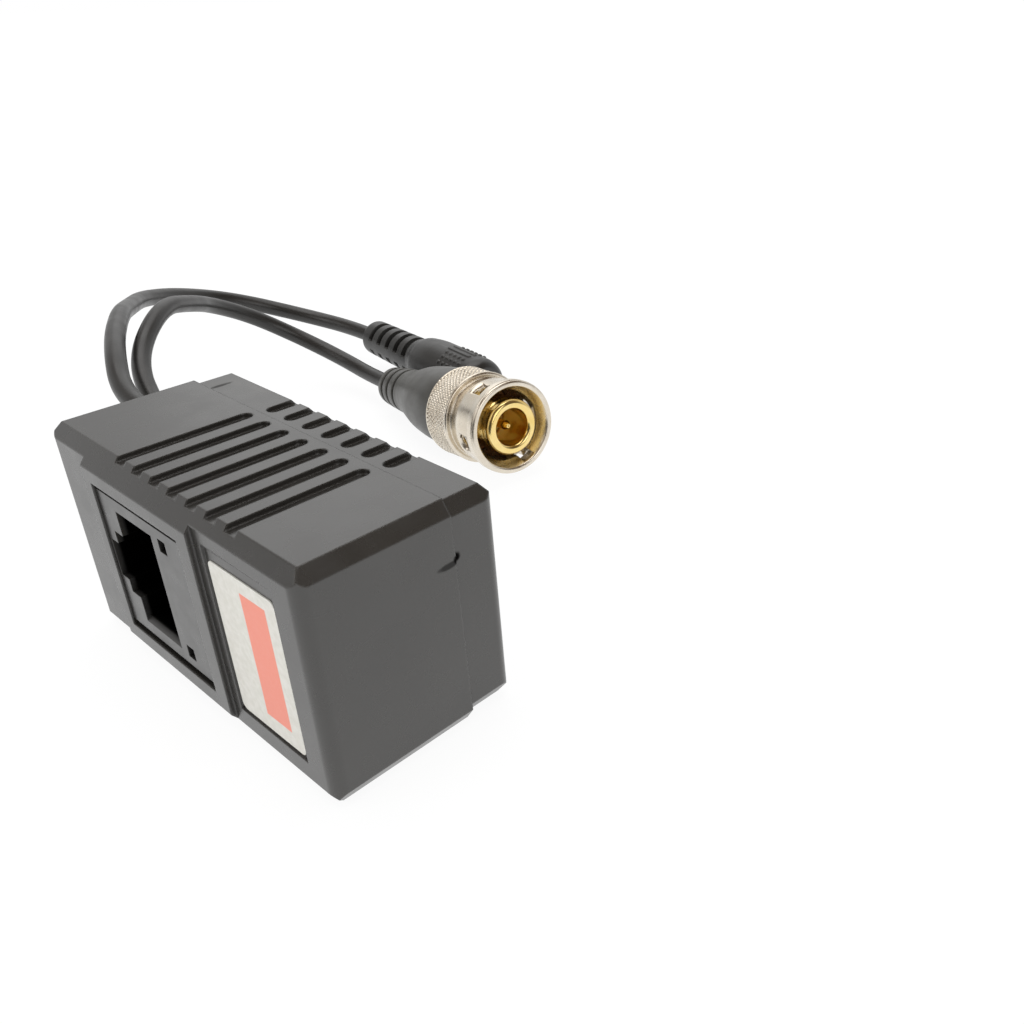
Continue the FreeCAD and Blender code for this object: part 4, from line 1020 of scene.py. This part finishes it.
    def mouth(self) -> list[Object]:
        """Turn the gold sleeve with its rolled lip, the pin, the insulator and the seal."""
        return [
            turned("gold_outer_contact", "video_plug_outer_contact", PLUG, [
                (9.35, 2.55), (9.35, 3.92), (1.9, 3.92), (1.7, 3.8), (1.5, 3.8), (1.3, 3.95), (0.45, 3.95),
                (0.05, 3.6), (0.05, 2.85), (0.4, 2.55),
            ], 0.22, GOLD, 128),
            turned("gold_centre_pin", "video_plug_centre_pin", PLUG, [
                (1.2, 0.05), (1.2, 0.3), (2.0, 0.68), (13.05, 0.68), (13.05, 0.85), (21.5, 0.85),
                (21.5, 0.05),
            ], 0.12, GOLD, 48),
            turned("amber_insulator_disc", "video_plug_insulator", PLUG, [
                (12.95, 0.73), (12.95, 2.5), (6.65, 2.5), (6.5, 2.35), (6.5, 0.9), (6.62, 0.73),
            ], 0.08, AMBER_INSULATOR),
            turned("silicone_seal_ring", "video_plug_gasket", PLUG, [
                (9.4, 3.95), (9.4, 4.85), (8.2, 4.85), (8.2, 3.95),
            ], 0.2, SEAL_SILICONE),
        ]

    def spring(self) -> Object:
        """Turn the conical spring washer as it stands at rest, and give it a mesh of its own. In use it
        flattens against the flange as the nut is pulled forward.
        """
        washer = turned("conical_spring_washer", "video_plug_spring_washer", PLUG, [
            (10.4, 4.6), (10.64, 4.6), (11.5, 5.42), (11.26, 5.42),
        ], 0.03, SPRING_STEEL)
        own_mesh(washer)
        return washer

    def boot(self) -> Object:
        """Turn the boot: a full shoulder, a long taper and three grooves at the lead."""
        outer = [(13.2, 4.7), (13.2, 5.45), (15.6, 5.85), (18.0, 5.7), (21.6, 5.2), (24.6, 4.3), (27.0, 3.65)]
        reach = [0.05, 0.25, 1.0, 1.1, 1.6, 1.5, 1.2]
        for middle, wide in zip(self.groove_middles, self.rib_radii):
            (top, floor), low = self.groove_halves, wide - self.groove_depth
            outer += [(middle - top, wide), (middle - floor, low), (middle + floor, low),
                      (middle + top, wide - 0.05)]
            reach += [0.12, 0.08, 0.08, 0.12]
        outer += [(34.25, 3.02), (34.6, 2.6), (34.6, 1.3), (29.2, 1.3), (29.2, 2.45), (21.5, 2.45),
                  (21.5, 3.8), (13.7, 3.8), (13.7, 4.7)]
        reach += [0.3, 0.2] + [0.05] * 7
        profile = softened(np.array(outer) * BACKWARD, np.array(reach))
        return piece("video_plug_boot_moulding", PLUG.place(lathe(profile, 128)), BOOT_PVC, "video_plug_boot")


@dataclass
class PowerSocket:
    """Moulded barrel socket: a round grip with raised bars and dots, and a slotted strain relief."""

    radius: float = 4.5
    bars_deg: tuple[float, ...] = (3.5, -10.5)
    bar_ends: tuple[float, float] = (3.4, 8.6)
    rows_deg: tuple[float, ...] = (17.5, 31.5, 45.5, -24.5, -38.5, -52.5)
    dots: tuple[float, ...] = (3.5, 4.57, 5.7, 6.8, 7.92)
    raised: float = 0.2
    mark_radius: float = 0.34
    slots: tuple[float, ...] = (18.75, 21.35, 23.95, 26.55, 29.15)
    slot_width: float = 1.0
    slot_depth: float = 0.9
    slot_turn_deg: float = -3.5
    slot_arcs_deg: tuple[float, float] = (76.0, 70.0)

    def build(self) -> list[Object]:
        """Make the grip and dress what is inside."""
        return [self.grip()] + carry_over({
            "power_socket_barrel": NICKEL, "power_socket_leaf_contact": SPRING_STEEL,
            "power_socket_base": INNER_PVC, "power_socket_centre_pin": NICKEL,
            "power_socket_inner_mould": INNER_PVC,
        })

    def marks(self, x: np.ndarray, radius: np.ndarray, angle: np.ndarray) -> np.ndarray:
        """Depth of the moulded marks, less than nothing where they stand up.

        A bar or dot rises by `raised` times (1 - (distance / mark_radius)^2) * 1.6, held between 0 and 1,
        where the distance is taken on the surface. A slot is cut where x is within half its width of its
        middle, and the angle is within `slot_arcs_deg` of the upper and of the lower side.
        """
        from_top = np.degrees(angle) - 90
        behind = -x
        height = np.zeros_like(x)
        for row in self.bars_deg + self.rows_deg:
            aside = np.radians(turned_off(from_top, row)) * self.radius
            for middle in (self.dots if row in self.rows_deg else (None,)):
                ahead = behind - behind.clip(*self.bar_ends) if middle is None else behind - middle
                gap = np.hypot(aside, ahead) / self.mark_radius
                height = np.maximum(height, ((1 - gap ** 2) * 1.6).clip(0, 1))
        top, bottom = (
            np.abs(turned_off(from_top, middle)) - arc
            for middle, arc in zip((self.slot_turn_deg, self.slot_turn_deg + 180), self.slot_arcs_deg))
        open_arc = (0.5 - np.minimum(top, bottom) / 3).clip(0, 1)
        along = np.min([np.abs(behind - middle) for middle in self.slots], axis=0)
        slot = ((self.slot_width / 2 - along) / 0.12 + 0.5).clip(0, 1) * open_arc
        skin = radius > 2.9
        return (self.slot_depth * slot - self.raised * height) * skin

    def grip(self) -> Object:
        """Turn the grip and its relief, raise the marks and cut the slots."""
        r = self.radius
        outer = np.array([
            (0.0, 2.85), (0.0, 3.5), (0.56, 4.14), (1.6, r), (3.0, r), (9.0, r), (13.0, r), (16.0, 4.1),
            (17.4, 3.4), (18.0, 3.3), (30.0, 3.05), (31.8, 3.0), (32.2, 2.6), (32.2, 1.35), (17.6, 1.35),
            (17.6, 2.55), (13.0, 2.55), (13.0, 3.3), (0.6, 3.3), (0.6, 2.85)]) * BACKWARD
        reach = np.array([.1, .25, .4, .8, .0, .0, 1.3, .9, .4, .0, .0, .3, .25] + [.05] * 7)
        profile = softened(outer, reach)
        profile = densified(densified(profile, -30.0, -18.0, 0.11), -9.0, -3.0, 0.1)
        return piece("power_socket_grip_moulding", POWER.place(lathe(profile, 288, self.marks)), GRIP_PVC,
                     "power_socket_grip", 50)


VIDEO_LEAD = Lead("video_lead_sheath", "video_lead", (
    (-17.0, 5.275, 10.2), (-26.5, 5.275, 10.2), (-40.4, 7.9, 14.2), (-50.4, 10.7, 18.1), (-57.1, 18.5, 22.4),
    (-63.5, 25.7, 19.8), (-69.2, 31.5, 17.0), (-70.6, 38.4, 13.2), (-67.8, 44.4, 8.7), (-61.2, 48.3, 5.1),
    (-50.076, 48.394, 3.490), (-40.240, 46.997, 4.634),
), 1.25, 108.9, (-22.4, 5.275, 10.2))
POWER_LEAD = Lead("power_lead_sheath", "power_lead", (
    (-17.0, 5.275, 16.8), (-26.5, 5.275, 16.8), (-39.2, 3.8, 17.5), (-49.2, 7.9, 21.0), (-60.4, 13.9, 21.6),
    (-71.1, 19.7, 19.2), (-80.6, 25.8, 17.3), (-86.5, 34.7, 14.6), (-87.2, 44.6, 11.2), (-81.2, 53.7, 7.3),
    (-68.977, 58.462, 5.548), (-59.010, 57.702, 5.252),
), 1.3, 124.7, (-22.4, 5.275, 16.8))


def main() -> None:
    """Build the pieces in order and report them."""
    logging.basicConfig(level=logging.INFO, format="%(name)s: %(message)s")
    Viewpoint().build()
    plug_pieces, power_pieces = VideoPlug().build(), PowerSocket().build()
    cords = [VIDEO_LEAD.build(plug_pieces), POWER_LEAD.build(power_pieces)]
    rest = Housing().build() + [Sticker().build()] + ModularSocket().build()
    Studio().build()
    for obj in cords + plug_pieces + power_pieces + rest:
        LOG.info("%s made, %s", obj.name, obj.type.lower())


if __name__ == "__main__":
    main()
